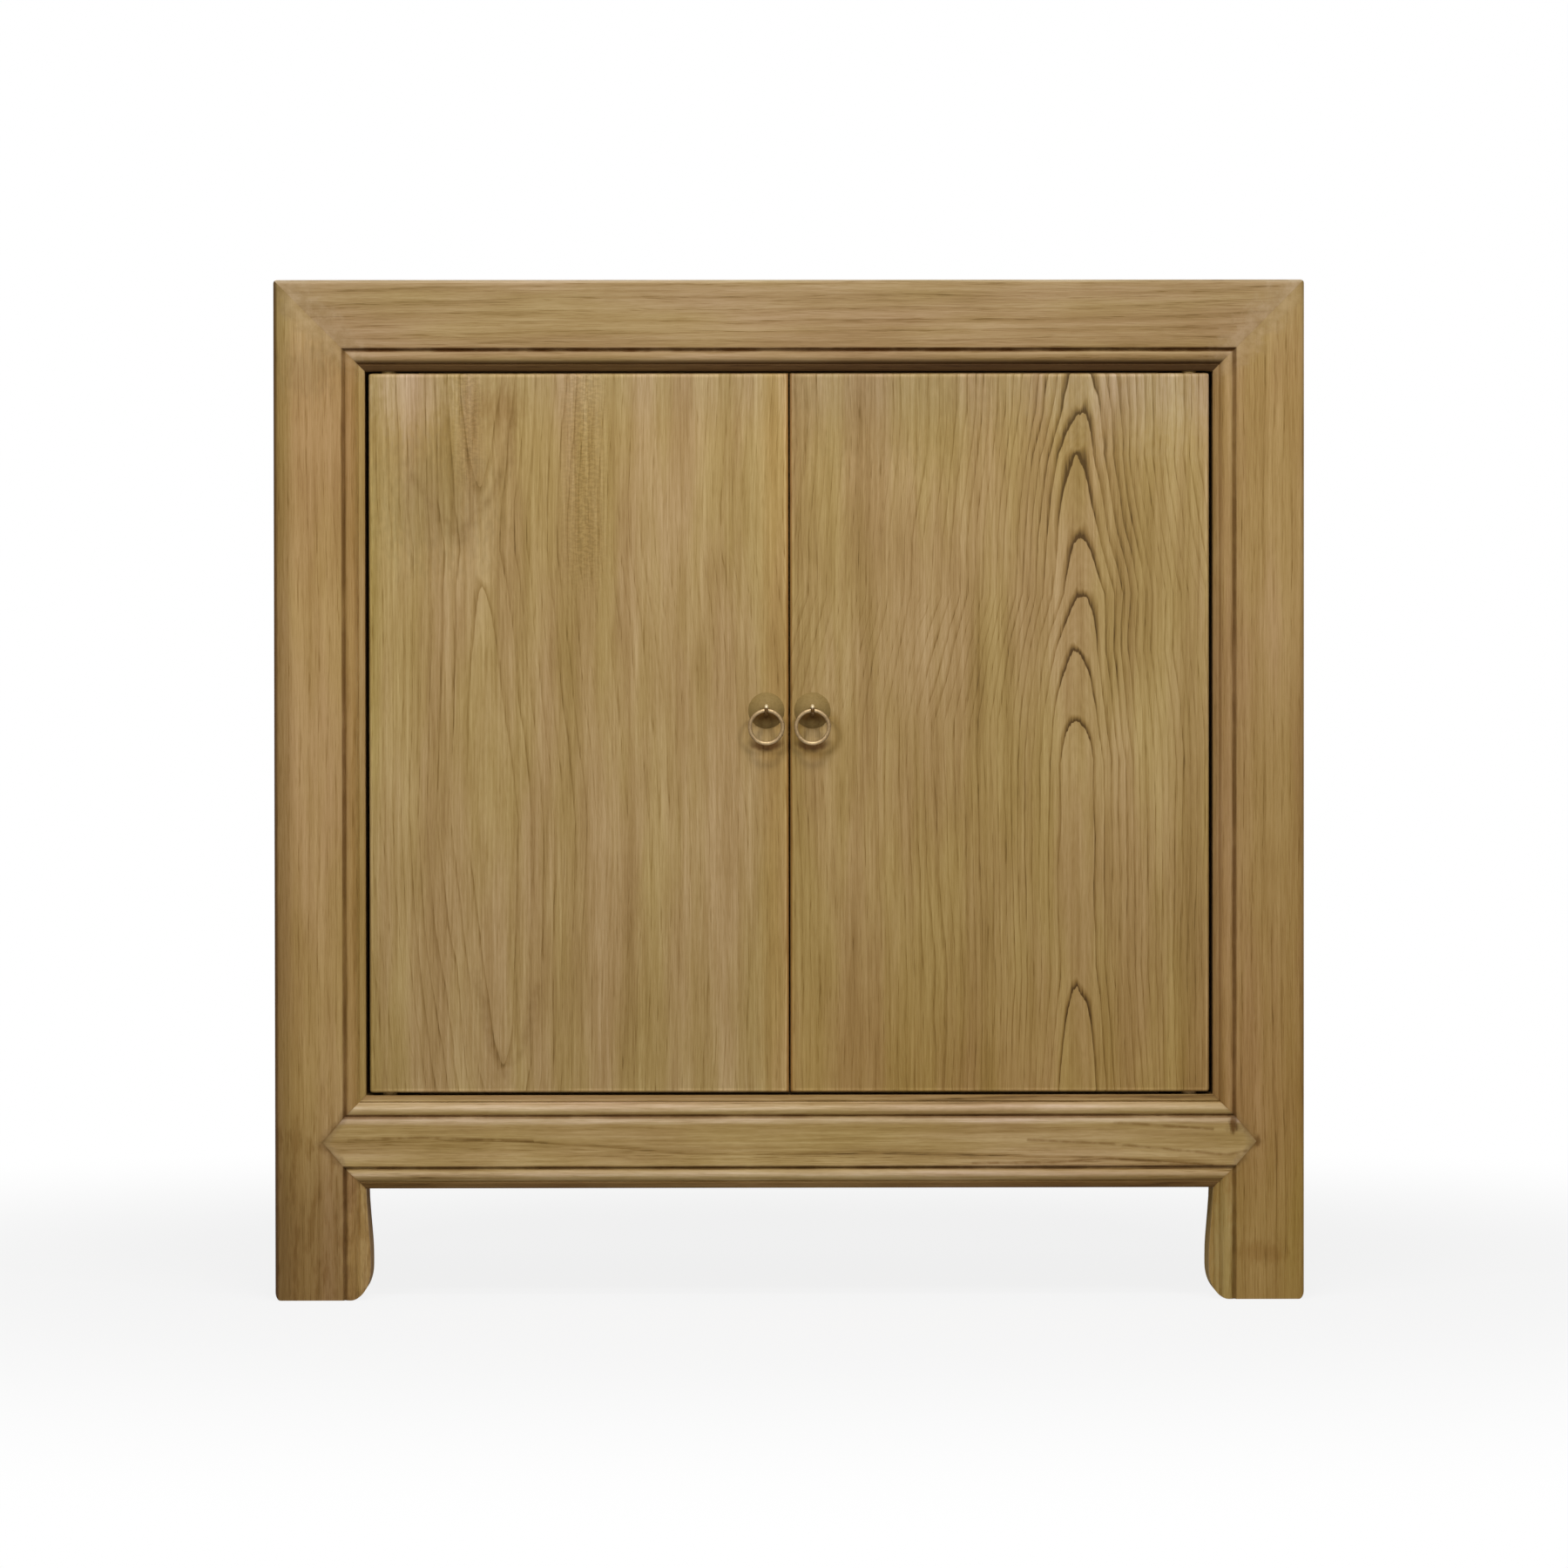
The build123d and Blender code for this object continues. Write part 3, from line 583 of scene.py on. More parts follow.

# %% Dust and painted shade in grooves and quirks
def groove_dust_and_shade(distance, amount):
    """Dust and painted shade in the groove, by the distance from its middle."""

    def mark(x, y, z):
        uneven = noise(spot(x * 0.03, y * 0.03, z * 0.03), 3.0, 0.6).ramp(0.30, 0.62, 0.45, 1.0)
        in_groove = abs(distance(x, z)).ramp(1.1, 2.6, 1.0, 0.0)
        return in_groove * uneven * on_front(y), dust, amount

    return mark


def inner_painted_shade(distance, start, end, dye, amount):
    """Painted shade on the band between the bead and the opening, where the bead keeps the light
    off.
    """

    def mark(x, y, z):
        beside_opening = z.ramp(rail_top - moulding, rail_top + 1.0, 0.3, 1.0)
        return distance(x, z).ramp(start, end) * on_front(y) * beside_opening, dye, amount

    return mark


def outer_arris_shade(side, amount):
    """Painted shade: a dark line down the rounded outer edge of a front post, which turns away
    from the light.
    """

    def mark(x, y, z):
        on_edge = (x * side).ramp(outer_side - 4.2, outer_side - 1.4)
        in_front = y.ramp(front_face + 3.0, front_face + 5.0, 1.0, 0.0)
        return on_edge * in_front, (0.42, 0.33, 0.24), amount

    return mark


print("dust leaves these shares of red, green and blue:", dust)

# %% Seams: thin dark lines
def seam(points, width, amount, dye=dust, both_sides=True, face=on_front, wave=0.0):
    """A thin dark line through points on the front; both sides get it if they are alike."""

    def mark(x, y, z):
        side = abs(x) if both_sides else x
        if wave:
            side = side + (noise(spot(x * 0.05, 0.0, z * 0.05), 3.0) - 0.5) * wave
        total = 0.0
        for (start_x, start_z), (end_x, end_z) in zip(points, points[1:]):
            run, rise = end_x - start_x, end_z - start_z
            length = run * run + rise * rise
            how_far = (side - start_x) * (run / length) + (z - start_z) * (rise / length)
            how_far = how_far.at_least(0.0).at_most(1.0)
            off_x = side - start_x - how_far * run
            off_z = z - start_z - how_far * rise
            line = (off_x * off_x + off_z * off_z).root().ramp(0.0, width, 1.0, 0.0)
            total = line.at_least(total)
        broken = noise(spot(x * 0.11, y * 0.11, z * 0.11)).ramp(0.30, 0.62, 0.35, 1.0)
        return total * broken * face(y), dye, amount

    return mark


print("a seam runs through any number of points")

# %% Wear and painted highlight: crowns and edges made pale
def bead_wear(distance, amount):
    """The crown of the bead, rubbed pale."""

    def mark(x, y, z):
        return distance(x, z).near(4.6, 3.2) * on_front(y), (1.22, 1.24, 1.48), amount

    return mark


def pale_line(height, width, amount):
    """A rail's bead or edge, rubbed pale and a little pink along its length."""

    def mark(x, y, z):
        uneven = noise(spot(x * 0.012, 0.0, z * 0.1)).ramp(0.30, 0.60, 0.75, 1.0)
        return z.near(height, width) * uneven * on_front(y), (1.65, 1.80, 3.00), amount

    return mark


def edge_wear_and_highlight(limits, dye, amount):
    """Pale wear and painted highlight along the sides of a rectangle on the front: left, right,
    bottom and top in mm.
    """

    def mark(x, y, z):
        left, right, bottom, top = limits
        inside = (x - left).at_most(right - x).at_most((z - bottom).at_most(top - z))
        broken = noise(spot(x * 0.05, 0.0, z * 0.05)).ramp(0.30, 0.60, 0.4, 1.0)
        return inside.ramp(0.4, 1.8) * inside.ramp(1.8, 4.0, 1.0, 0.0) * broken, dye, amount

    return mark


print("wear turns beads, rails and edges paler")

# %% Strips, smudges and flecks
def strip(axis, start, end, dye, amount, face=everywhere):
    """A dye that grows from one place to another along an axis."""

    def mark(*xyz):
        return xyz[axis].ramp(start, end) * face(xyz[Y]), dye, amount

    return mark


def smudge(x_place, z_place, x_size, z_size, dye, amount):
    """A soft oval mark on the front, such as a knot or a stain."""

    def mark(x, y, z):
        across = (x - x_place) / x_size
        up = (z - z_place) / z_size
        ragged = noise(spot(x * 0.3, y * 0.3, z * 0.12)) * 1.4 - 0.7
        reach = (across * across + up * up).root() + ragged
        return reach.ramp(0.2, 1.1, 1.0, 0.0), dye, amount

    return mark


def fleck(x_place, x_size, lowest, amount):
    """Ray fleck: small ripples across the grain, in a column of the board."""

    def mark(x, y, z):
        column = x.near(x_place, x_size) * z.ramp(lowest, lowest + 60.0)
        ripple = noise(spot(x * 0.22, 0.0, z * 0.45), 2.0, 0.6).ramp(0.42, 0.60)
        return column, blend(ripple, (0.84, 0.83, 0.80), (1.12, 1.12, 1.12)), amount

    return mark


print("strips end straight, smudges end ragged, flecks ripple")

# %% [markdown]
# ### Veils
# Over end grain and joints the polish lies thicker and more blotched, and hides the
# lines beneath. A dye can't do that, because it only multiplies what is there. So a
# veil gives a colour of its own and how much it covers.

# %% Veils over corners and shoulders
def corner_veil(x, y, z):
    """Blotched polish over the top corners, where two grains meet and a cloth turns."""
    off_mitre = abs(abs(x) - z + (opening_top - opening_side))
    ragged = noise(spot(x * 0.09, 7.0, z * 0.09), 3.0, 0.6) * 60.0 - 30.0
    high_up = z.ramp(opening_top - 23.0, opening_top + 10.0)
    near_corner = (off_mitre + ragged).ramp(6.0, 30.0, 1.0, 0.0) * high_up
    blotch = noise(spot(x * 0.07, 0.0, z * 0.07), 4.0, 0.65).ramp(0.34, 0.66)
    colour = blend(blotch, (0.315, 0.205, 0.078), (0.435, 0.305, 0.150))
    return near_corner * on_front(y) * 0.8, colour


def shoulder_veil(x, y, z):
    """Polish rubbed over the pointed shoulders of the bottom rail."""
    off_joint = abs(abs(x) + abs(z - rail_middle) * shoulder_slope - shoulder_tip)
    ragged = noise(spot(x * 0.12, 3.0, z * 0.12), 3.0, 0.6) * 16.0 - 8.0
    past_groove = abs(x).ramp(groove_side - 5.0, groove_side + 1.0)
    near_joint = (off_joint + ragged).ramp(1.0, 8.0, 1.0, 0.0) * past_groove
    blotch = noise(spot(x * 0.09, 0.0, z * 0.09), 4.0, 0.65).ramp(0.34, 0.66)
    colour = blend(blotch, (0.250, 0.155, 0.055), (0.360, 0.240, 0.105))
    return near_joint * on_front(y) * 0.75, colour


print("veils lie on the four corners and the two shoulders")

# %% [markdown]
# ## The doors
# Each door is one wide board. The right one was sawn just above the heart, so a row of
# pointed arches climbs it off centre, and the lines beside them lean together towards
# the top. The left one is quieter: leaning streaks with a faint flame. Two boards with
# the same settings and other seeds would look like brothers, so each has its own rings.

# %% The right door's rings
arches = [726.0, 690.0, 622.0, 576.0, 530.0, 473.0, 254.0]
right_years = [(765.0, 0.75), (440.0, -5.70), (268.0, -5.80), (240.0, -6.25), (165.0, -6.9)]
right_years += [(arch, -count) for count, arch in enumerate(arches)]
right_axis = [(726.0, 238.0), (690.0, 235.0), (622.0, 236.0), (576.0, 241.0)]
right_axis += [(530.0, 235.0), (473.0, 232.0), (254.0, 235.0)]
right_tips = [(760.0, 14.0), (690.0, 11.0), (622.0, 20.0)]
right_tips += [(530.0, 30.0), (473.0, 40.0), (254.0, 34.0)]
right_lean = [(745.0, 0.3), (700.0, 0.2), (650.0, 0.1), (622.0, 0.55), (600.0, 0.3)]
right_lean += [(576.0, 0.0), (530.0, -0.5), (495.0, -0.2), (473.0, -0.1), (254.0, 0.3)]
right_grain = arched_rings(
    axis=right_axis,
    years=right_years,
    spacing=7.1,
    roundness=right_tips,
    reach=64.0,
    pace_up=0.018,
    bold=(14.0, 38.0, 1.0),
    crowns=[(264.0, 1.5), (290.0, 0.45), (395.0, 0.45), (462.0, 1.5)],
    lean=right_lean,
)
print(len(arches), "arches on the right door")

# %% The left door's rings
left_grain = arched_rings(
    axis=[(765.0, -252.0), (650.0, -254.0), (560.0, -248.0), (400.0, -244.0), (165.0, -232.0)],
    years=[(765, -0.8), (640, 0.2), (612, 0.3), (585, 0.0), (390, -0.9), (190, 0.0), (165, 0.4)],
    spacing=8.5,
    roundness=[(765.0, 30.0), (612.0, 24.0), (390.0, 40.0), (165.0, 24.0)],
    reach=55.0,
    pace_up=0.012,
    bold=(36.0, 36.0, 0.60),
    crowns=[(390.0, 0.9), (391.0, 0.9)],
)
print("a faint flame on the left door, its middle 390 mm up")

# %% [markdown]
# ### Painted shadows of the pulls, and what hands leave on a door
# Under each ring a dark crescent is painted as the ring's shadow on the wood, and a soft
# ring of painted shadow lies round it, a little aside and below, as from a second light.
# Inside the ring the wood is rubbed pale by fingers. The marks are placed from the ring's
# own box, so they follow if it is moved in the CAD model.

# %% Marks of the pulls
def from_ring(side, x, z, aside=0.0, below=0.0):
    """Distance and height from a pull ring's middle, or from a point aside and below it."""
    ring_low, ring_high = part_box(side + "_pull_ring")
    off_x = x - ((ring_low.x + ring_high.x) / 2 / MM + aside)
    off_z = z - ((ring_low.z + ring_high.z) / 2 / MM - below)
    return (off_x * off_x + off_z * off_z).root(), off_z


def ragged_edge(x, z):
    """Noise of about -1.5 to 1.5 mm."""
    return noise(spot(x * 0.25, 0.0, z * 0.25)) * 3.0 - 1.5


def ring_shadow_crescent(side):
    """Painted shadow: the dark crescent under a ring, where its shadow falls on the wood."""

    def mark(x, y, z):
        distance, up = from_ring(side, x, z)
        low_down = (up / distance.at_least(1.0)).ramp(-0.55, -0.92)
        ragged = ragged_edge(x, z)
        under_wire = (distance + ragged * 0.5).ramp(13.4, 15.0)
        crescent = under_wire * (distance + ragged).ramp(17.5, 22.0, 1.0, 0.0)
        return crescent * low_down * in_door_gap(y), (0.27, 0.18, 0.085), 0.95

    return mark


def ring_side_shadow(side, amount):
    """Painted shadow: a soft ring of shade round a ring, a little aside and below, as from a
    second light.
    """

    def mark(x, y, z):
        distance = from_ring(side, x, z, 4.5, 5.5)[0]
        side_shadow = (distance + ragged_edge(x, z)).near(16.5, 8.0)
        return side_shadow * in_door_gap(y), (0.70, 0.64, 0.42), amount

    return mark


def finger_rub(side):
    """The wood inside a ring, rubbed pale by fingers."""

    def mark(x, y, z):
        distance, up = from_ring(side, x, z)
        inside = distance.ramp(13.5, 10.0) * up.ramp(0.0, -6.0)
        return inside * in_door_gap(y), (1.26, 1.32, 1.46), 0.95

    return mark


ring_left, ring_right = (corner.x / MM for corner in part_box("left_pull_ring"))
print("the rings are", round(ring_right - ring_left, 1), "mm wide")

# %% Marks that both doors have
pale_edge = (1.42, 1.46, 1.62)


def door_limits(side):
    """Left, right, bottom and top of a door's board, in mm."""
    lowest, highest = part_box(side + "_door_board")
    return lowest.x / MM, highest.x / MM, lowest.z / MM, highest.z / MM


def door_marks(side, side_shadow):
    """The painted shadows of a door's pull ring, finger wear inside it, and the edges' wear and
    painted highlight.
    """
    limits = door_limits(side)
    print(side, "door: left, right, bottom, top", [round(v, 1) for v in limits])
    worn_and_highlit_edges = edge_wear_and_highlight(limits, pale_edge, 0.75)
    return ring_shadow_crescent(side), ring_side_shadow(side, side_shadow), finger_rub(side), worn_and_highlit_edges


def gap_edge(x_from, x_to):
    """The shaded closing edge, between the doors."""
    return strip(X, x_from, x_to, (0.60, 0.46, 0.28), 1.0, in_door_gap)


shaded_top = strip(Z, door_top - 1.4, door_top - 0.2, (0.62, 0.54, 0.44), 0.9)

# %% The right door
right_marks = (
    *door_marks("right", 0.75),
    gap_edge(3.4, 1.4),
    # Painted shade: the door darker towards its bottom, away from the light above.
    strip(Z, 560.0, 330.0, (0.955, 0.935, 0.85), 1.0),
    strip(Z, 330.0, 170.0, (0.92, 0.87, 0.75), 1.0),
    strip(Z, door_top - 56.0, door_top - 1.0, (0.99, 1.02, 1.22), 1.0),
    smudge(80.0, 725.0, 130.0, 60.0, (0.89, 0.89, 0.86), 1.0),
    smudge(280.0, 728.0, 90.0, 50.0, (1.06, 1.10, 1.28), 1.0),
    shaded_top,
)
right_wood = elm(
    "elm right door", (Z, X, Y), right_grain, 3.1, lines=1.35, calm=0.6, marks=right_marks
)
dress(right_wood, "right_door_board")

# %% The left door
upper_flame = [(-306.0, 672.0), (-293.0, 650.0), (-271.0, 621.0), (-258.0, 637.0)]
upper_flame += [(-240.0, 658.0), (-229.0, 684.0), (-225.0, 724.0)]
lower_flame = [(-256.0, 266.0), (-252.0, 238.0), (-243.0, 209.0), (-231.0, 184.0)]
lower_flame += [(-220.0, 203.0), (-212.0, 226.0), (-208.0, 256.0)]
left_marks = (
    *door_marks("left", 0.35),
    strip(X, -28.0, -12.0, (1.06, 1.02, 0.95), 1.0, in_door_gap),
    gap_edge(-3.4, -1.4),
    strip(X, -328.0, -341.0, (0.90, 0.93, 0.72), 0.8),
    strip(Z, door_top - 56.0, door_top - 1.0, (0.98, 1.01, 1.14), 1.0),
    smudge(-305.0, 738.0, 50.0, 40.0, (1.18, 1.22, 1.50), 1.0),
    smudge(-290.0, 650.0, 66.0, 70.0, (0.84, 0.84, 0.82), 1.0),
    fleck(-167.0, 26.0, 560.0, 0.8),
    fleck(-262.0, 20.0, 640.0, 0.7),
    smudge(-235.0, 728.0, 26.0, 22.0, (0.86, 0.80, 0.72), 0.9),
    *(
        seam(flame, 7.0, 0.34, shade, both_sides=False, face=everywhere, wave=16.0)
        for flame in (upper_flame, lower_flame)
    ),
    shaded_top,
)
left_wood = elm(
    "elm left door", (Z, X, Y), left_grain, 8.7, lines=0.8, calm=0.64, marks=left_marks
)
dress(left_wood, "left_door_board")

# %% [markdown]
# ## The frame
# Posts and rails are sawn with straight grain, so that the mitres stay shut. Their year
# lines run with the length of each piece, which is what shows where the mitre is: the
# joint itself is only a hair wide. The feet are darker, partly from standing in the damp
# and partly as painted shade, and the two sides of the cabinet have aged unlike each
# other, so each post has its own list of marks on top of the ones they share.

# %% Marks that both posts have
post_marks = (
    groove_dust_and_shade(from_side, 0.55),
    bead_wear(from_side, 0.22),
    seam(shoulder, 1.6, 0.3),
    seam(mitre, 1.0, 0.10),
)


def leg_stains(x, y, z):
    """Soft dark runs down the lower part of a leg, where it stood in the damp."""
    runs = noise(spot(x * 0.13, 0.0, z * 0.028), 3.0, 0.6).ramp(0.48, 0.66)
    return runs * z.ramp(190.0, 120.0) * on_front(y), (0.74, 0.66, 0.52), 0.8


print("both posts get", len(post_marks), "marks")

# %% The left post
left_crack = [(-groove_side, rail_top - moulding), (-shoulder_tip, rail_middle)]
left_post_marks = (
    *post_marks,
    strip(Z, cabinet_top - 17.0, opening_top - 13.0, (0.985, 0.92, 0.86), 1.0),
    # Painted shade in the quirk beside the bead.
    inner_painted_shade(from_side, 9.0, 11.5, (0.94, 0.96, 0.98), 1.0),
    outer_arris_shade(-1.0, 0.95),
    strip(X, -400.0, -416.0, (0.65, 0.63, 0.52), 0.9, on_front),
    smudge(-394.0, 757.0, 34.0, 30.0, (0.84, 0.85, 0.84), 0.9),
    # Darker towards the feet: partly dirt, partly painted shade.
    strip(Z, rail_top + 8.0, 60.0, (0.77, 0.73, 0.72), 1.0),
    strip(X, -366.0, -361.0, (0.86, 0.80, 0.72), 1.0),
    strip(X, -355.0, -351.0, (1.22, 1.32, 1.38), 1.0, on_front),
    leg_stains,
    seam(left_crack, 2.6, 0.35, shade, both_sides=False),
    smudge(-374.0, 124.0, 16.0, 5.0, shade, 0.6),
    smudge(-351.0, 40.0, 15.0, 75.0, (1.42, 1.55, 1.60), 0.95),
)
post_veils = (corner_veil, shoulder_veil)
left_post_wood = elm(
    "elm left post",
    (Z, X, Y),
    straight_rings(-520, 60, 5.5),
    21.0,
    lines=0.38,
    calm=0.45,
    marks=left_post_marks,
    veils=post_veils,
)
dress(left_post_wood, "front_left_post")

# %% The right post
right_crack = [(groove_side, rail_bottom + moulding), (371.0, 117.5)]
right_post_marks = (
    *post_marks,
    strip(Z, cabinet_top - 17.0, opening_top - 13.0, (0.95, 0.89, 0.87), 1.0),
    # Painted shade in the quirk beside the bead.
    inner_painted_shade(from_side, 9.0, 11.5, (0.70, 0.64, 0.56), 0.7),
    strip(X, 396.0, 419.0, (0.90, 0.88, 0.77), 0.9, on_front),
    # Darker towards the feet: partly dirt, partly painted shade.
    strip(Z, rail_top - 2.0, 60.0, (0.95, 1.00, 0.82), 1.0),
    seam(right_crack, 3.0, 0.6, shade, both_sides=False),
    smudge(shoulder_tip + 0.5, rail_middle, 4.5, 6.0, shade, 0.8),
    smudge(385.0, 38.0, 30.0, 12.0, (0.80, 0.72, 0.60), 0.8),
    smudge(354.0, 42.0, 12.0, 75.0, (1.12, 1.26, 1.50), 0.9),
    # Painted shade: the post darker towards its bottom, away from the light above.
    strip(Z, 500.0, 100.0, (0.95, 0.88, 0.72), 0.8),
)
right_post_wood = elm(
    "elm right post",
    (Z, X, Y),
    straight_rings(300, 90, 5.5),
    33.0,
    lines=0.55,
    calm=0.5,
    marks=right_post_marks,
    veils=post_veils,
)
dress(right_post_wood, "front_right_post")

# %% The top rail
def top_bead_right_darker(x, y, z):
    """The right half of the upper bead made darker."""
    on_bead = z.ramp(groove_top - 2.0, groove_top - 4.5)
    return x.ramp(-40.0, 140.0) * on_bead, (0.80, 0.76, 0.70), 0.95


top_marks = (
    groove_dust_and_shade(from_top, 1.0),
    top_bead_right_darker,
    strip(Z, opening_top + 2.0, groove_top, (0.95, 0.93, 1.04), 1.0),
    strip(Z, cabinet_top - 37.0, cabinet_top - 17.0, (1.05, 1.09, 1.12), 1.0),
    bead_wear(from_top, 0.4),
    # Painted shade: the band under the top rail's bead, made dark brown.
    inner_painted_shade(from_top, 7.0, 11.0, (0.22, 0.15, 0.075), 0.95),
    seam(mitre, 1.0, 0.10),
    # Painted highlight: the rounded top front edge made pale, as where it catches the light from
    # above.
    strip(Z, cabinet_top - 3.4, cabinet_top - 0.6, (1.25, 1.45, 1.9), 0.7, on_arris),
)
top_rail_wood = elm(
    "elm top rail",
    (X, Z, Y),
    straight_rings(900, 40, 5.0, lean=0.015),
    41.0,
    tone=0.92,
    lines=0.42,
    calm=0.55,
    marks=top_marks,
    veils=(corner_veil,),
)
dress(top_rail_wood, "top_front_rail")

# %% The bottom rail
def low_bead_right_darker(x, y, z):
    """The right half of the lower bead made darker, in the same way."""
    on_bead = z.ramp(rail_bottom + 17.5, rail_bottom + 15.0)
    return x.ramp(60.0, 240.0) * on_bead, (0.77, 0.72, 0.55), 0.95


dark_runs = (
    [(194.0, 130.5), (264.0, 127.0), (357.0, 118.0), (372.0, 121.0)],
    [(150.0, 111.5), (215.0, 112.0), (262.0, 115.0), (300.0, 112.5), (345.0, 109.5)],
    [(266.0, 144.5), (310.0, 141.5), (345.0, 139.0)],
    [(-360.0, 131.0), (-300.0, 133.0), (-210.0, 130.0)],
)
bottom_marks = (
    groove_dust_and_shade(from_middle, 0.72),
    pale_line(rail_top - 9.0, 5.5, 0.75),
    pale_line(rail_top - 19.8, 5.0, 0.95),
    pale_line(rail_bottom + 12.0, 3.5, 0.6),
    # Painted shadow: the top edge of the bottom rail, under the doors, made darker.
    strip(Z, rail_top - 5.5, rail_top - 1.5, (0.66, 0.58, 0.50), 0.9),
    strip(Z, rail_middle - 3.0, rail_middle - 11.0, (1.13, 1.15, 1.27), 1.0),
    # Painted shade: the rail's lowest few mm, where its edge turns down away from the light,
    # made dark.
    strip(Z, rail_bottom + 8.0, rail_bottom + 4.0, (0.42, 0.32, 0.22), 0.9),
    seam(shoulder, 1.6, 0.3),
    smudge(361.5, 143.0, 6.5, 9.5, (0.30, 0.20, 0.10), 0.95),
    low_bead_right_darker,
    *(seam(run, 2.2, 0.8, shade, both_sides=False, wave=6.0) for run in dark_runs),
)
bottom_rail_wood = elm(
    "elm bottom rail",
    (X, Z, Y),
    straight_rings(150, 30, 6.0, lean=-0.03),
    52.0,
    tone=1.07,
    lines=0.9,
    calm=0.7,
    marks=bottom_marks,
    veils=(shoulder_veil,),
)
dress(bottom_rail_wood, "bottom_front_rail")

# %% [markdown]
# ## Sides, back and top
# These are made of the same elm, but nobody waxes them. The boards show faint crowns,
# as boards cut a little off the heart do; the rails round them stay straight. Pieces of
# one kind share a material: the pattern starts from each point's place on the cabinet,
# so no two of them come out alike.

# %% Back posts and rails
# The back feet are darker: partly dirt, partly painted shade.
back_feet_dirt_and_shade = (strip(Z, 165.0, 20.0, (0.75, 0.68, 0.60), 1.0),)
back_post_wood = elm(
    "elm back posts",
    (Z, X, Y),
    straight_rings(-100, 200, 4.5),
    61.0,
    lines=0.6,
    marks=back_feet_dirt_and_shade,
)
dress(back_post_wood, "back_left_post", "back_right_post")
rail_rings = straight_rings(900, 100, 4.5)
side_rail_wood = elm("elm side rails", (Y, Z, X), rail_rings, 63.0, lines=0.6, calm=0.8)
for height in ("top", "bottom"):
    dress(side_rail_wood, height + "_left_rail", height + "_right_rail")
back_rail_wood = elm("elm back rails", (X, Z, Y), rail_rings, 67.0, lines=0.6, calm=0.8)
dress(back_rail_wood, "top_back_rail", "bottom_back_rail")

# %% Boards
def board(name, axes, rings, seed):
    """The wood of an outer board, calmer than the doors'."""
    return elm(name, axes, rings, seed, lines=0.8, calm=0.8)


top_rings = straight_rings(20, 50, 5.5, dip=0.05)
side_rings = straight_rings(10, 40, 5.5, dip=0.06)
back_rings = straight_rings(-190, 40, 5.5, dip=0.06)
dress(board("elm top board", (X, Y, Z), top_rings, 71.0), "top_panel")
side_panels = ("left_side_panel", "right_side_panel")
dress(board("elm side boards", (Z, Y, X), side_rings, 77.0), *side_panels)
back_boards = ("left_back_board", "right_back_board", "back_muntin")
dress(board("elm back boards", (Z, X, Y), back_rings, 79.0), *back_boards)

# %% [markdown]
# ## Inside
# Shelf, bottom and braces never saw wax or hands, and stay a shade darker and plainer.
# They could share one wood, but the braces run from front to back, so their grain has
# to turn with them.

# %% Shelf, bottom, stops and braces
inside_rings = straight_rings(10, 40, 5.5, dip=0.02)
flat_inside = ["bottom_board", "shelf", "top_door_stop", "sill_door_stop"]
flat_inside += [side + "_door_battens" for side in ("left", "right")]
flat_inside += [side + "_door_pivots" for side in ("left", "right")]
dress(elm("elm inside", (X, Y, Z), inside_rings, 81.0, tone=0.9), *flat_inside)
deep_inside = ["top_brace", "bottom_brace", "left_shelf_bearer", "right_shelf_bearer"]
dress(elm("elm braces", (Y, X, Z), inside_rings, 84.0, tone=0.9), *deep_inside)

# %% [markdown]
# ## The pulls
# A domed brass plate, a split pin whose head is a small eye, and a ring that hangs in
# it. Brass left alone goes brown and dull; only the ring, which fingers rub, stays bright.
# The top of the eye is painted pale as a highlight, the ring's top and bottom are painted
# brighter than its sides as highlights, and the plate inside the ring is painted dark
# brown as shade. So one recipe makes all three: each has a bright colour of its own, and
# a mask of tarnish and painted light decides how brown, how rough and how little metallic
# each place is. Three unrelated materials would look like three metals.

# %% Brass
# The brown of tarnish; on the plate inside the ring it is also painted shade.
old_brown = (0.115, 0.054, 0.010)


def brass(name, bright, shine, tarnish_and_light_of):
    """Old brass, brown and dull where the mask of tarnish and painted shade is 1; painted
    highlights lie where it is 0.
    """
    material, shader = new_material(name)
    x, y, z = place_in_mm(material)
    mottle = noise(spot(x * 0.5, y * 0.5, z * 0.5), 4.0, 0.65)
    fine = noise(spot(x * 3.0, y * 3.0, z * 3.0), 3.0)
    tarnish_and_light = (tarnish_and_light_of(x, y, z) + (mottle - 0.5) * 0.9).at_least(0.0).at_most(1.0)
    colour = blend(tarnish_and_light, bright, old_brown)
    plug(shader.inputs["Base Color"], scaled(colour, fine * 0.5 + 0.75))
    shader.inputs["Specular IOR Level"].default_value = 0.15
    plug(shader.inputs["Metallic"], shine - tarnish_and_light * shine * 0.6)
    plug(shader.inputs["Roughness"], tarnish_and_light * 0.25 + fine * 0.12 + 0.58 - shine * 0.25)
    relief = mottle * 0.06 + fine * 0.02
    bump = {"Strength": 0.7, "Distance": MM, "Height": relief}
    plug(shader.inputs["Normal"], relief.node("ShaderNodeBump", None, bump))
    return material


print("tarnish is", old_brown)

# %% Where the brass is tarnished, and where light and shade are painted on it
ring_low, ring_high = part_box("right_pull_ring")
ring_x, ring_z = ((ring_low[axis] + ring_high[axis]) / 2 / MM for axis in (X, Z))
print("rings hang", round(ring_x, 2), "mm aside and", round(ring_z, 2), "mm up")


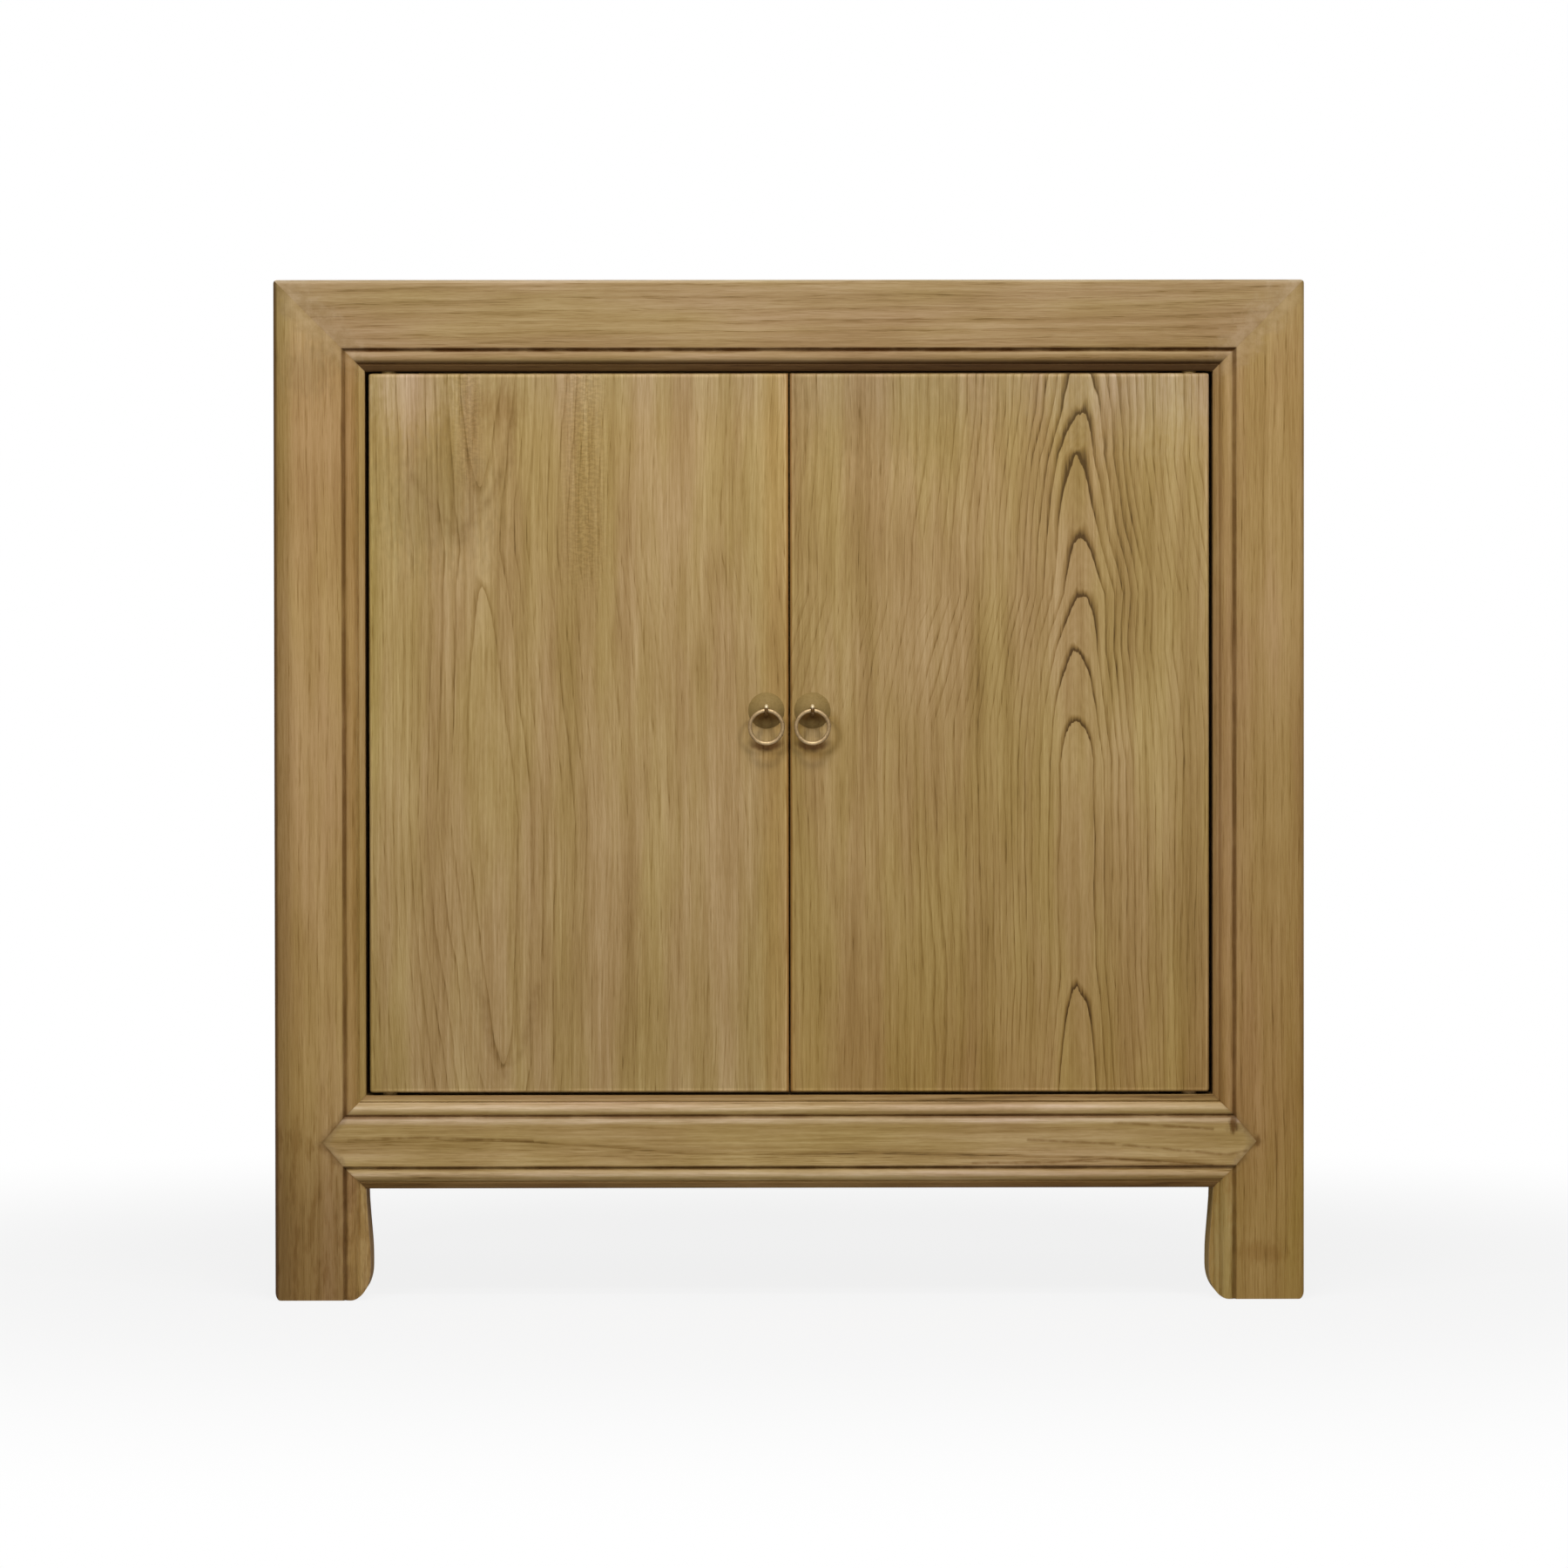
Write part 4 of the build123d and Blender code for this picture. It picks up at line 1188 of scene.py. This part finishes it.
def plate_tarnish_and_shade(x, y, z):
    """Painted shade: the plate's lower half inside the ring, facing down away from the light,
    made dark brown; below, a little tarnish.
    """
    off_x, off_z = abs(x) - ring_x, z - ring_z
    inside_ring = (off_x * off_x + off_z * off_z).root().ramp(15.5, 11.5)
    shade_under_eye = z.ramp(ring_z + 2.0, ring_z + 9.0, 0.15, 1.0)
    return inside_ring * shade_under_eye + z.ramp(ring_z + 14.0, ring_z, 0.05, 0.15)


def ring_sheen_and_tarnish(x, y, z):
    """Painted highlight: the ring's top and bottom are made brighter than its browner sides."""
    return (abs(x) - ring_x).near(0.0, 13.0) * -0.43 + 0.50


def eye_highlight_and_tarnish(x, y, z):
    """Painted highlight: the eye is made bright above, and brown where the ring hides it."""
    return z.ramp(ring_z + 16.8, ring_z + 15.0)


# %% Dress the pulls
pull_brass = {
    "plate": brass("brass plate, tarnish and painted shade", (0.262, 0.176, 0.058), 0.10, plate_tarnish_and_shade),
    "ring": brass("brass ring, painted highlight", (0.50, 0.365, 0.20), 0.85, ring_sheen_and_tarnish),
    # The eye's pale colour is a painted highlight on its top.
    "eye": brass("brass eye, painted highlight", (0.86, 0.74, 0.50), 0.75, eye_highlight_and_tarnish),
}
for part, material in pull_brass.items():
    dress(material, "left_pull_" + part, "right_pull_" + part)

# %% [markdown]
# ## The floor
# The floor lies a hair under the feet, so that no two faces share a plane. It is grey to
# the light, so that it throws little back and keeps the shadow, and turns to white with
# distance to the eye. From below it is clear, so that the underside can be looked at.

# %% The floor's shape
floor_mesh = bpy.data.meshes.new("floor")
floor_shape = bmesh.new()
under_feet = Matrix.Translation((0.0, 0.0, -0.3 * MM))
bmesh.ops.create_grid(floor_shape, x_segments=1, y_segments=1, size=6.0, matrix=under_feet)
floor_shape.to_mesh(floor_mesh)
floor_shape.free()
floor = bpy.data.objects.new("floor", floor_mesh)
bpy.context.scene.collection.objects.link(floor)
print("floor with", len(floor_mesh.polygons), "face")

# %% The floor's material
floor_material, floor_shader = new_material("pale floor")
floor_shader.inputs["Base Color"].default_value = (0.55, 0.55, 0.55, 1.0)
floor_shader.inputs["Roughness"].default_value = 1.0
floor_shader.inputs["Specular IOR Level"].default_value = 0.0
floor_tree = floor_material.node_tree
grey = Wire(floor_shader.outputs[0])
white = Wire(floor_tree.nodes.new("ShaderNodeEmission").outputs[0])
floor_x, floor_y, _ = place_in_mm(floor_material)
white_from, white_to = 500.0, 1500.0
far = (floor_x * floor_x + floor_y * floor_y).root().ramp(white_from, white_to, 0.86, 1.0)
paper = white.node("ShaderNodeMixShader", None, {0: far, 1: grey, 2: white})
seen_from_above = surround_for_eye(floor_tree, paper, grey)
clear = Wire(floor_tree.nodes.new("ShaderNodeBsdfTransparent").outputs[0])
from_below = Wire(floor_tree.nodes.new("ShaderNodeNewGeometry").outputs["Backfacing"])
by_eye = Wire(floor_tree.nodes.new("ShaderNodeLightPath").outputs["Is Camera Ray"])
mixed = {0: from_below * by_eye, 1: seen_from_above, 2: clear}
floor_surface = clear.node("ShaderNodeMixShader", None, mixed)
plug(floor_tree.nodes["Material Output"].inputs["Surface"], floor_surface)
floor_mesh.materials.append(floor_material)
print("floor turns white from", white_from * MM, "to", white_to * MM, "m")

# %% [markdown]
# ## Finish
# Colours are shown as they are, without a film look, so that the wood's tones are the
# ones given above.

# %% Finish
bpy.context.scene.view_settings.view_transform = "Standard"
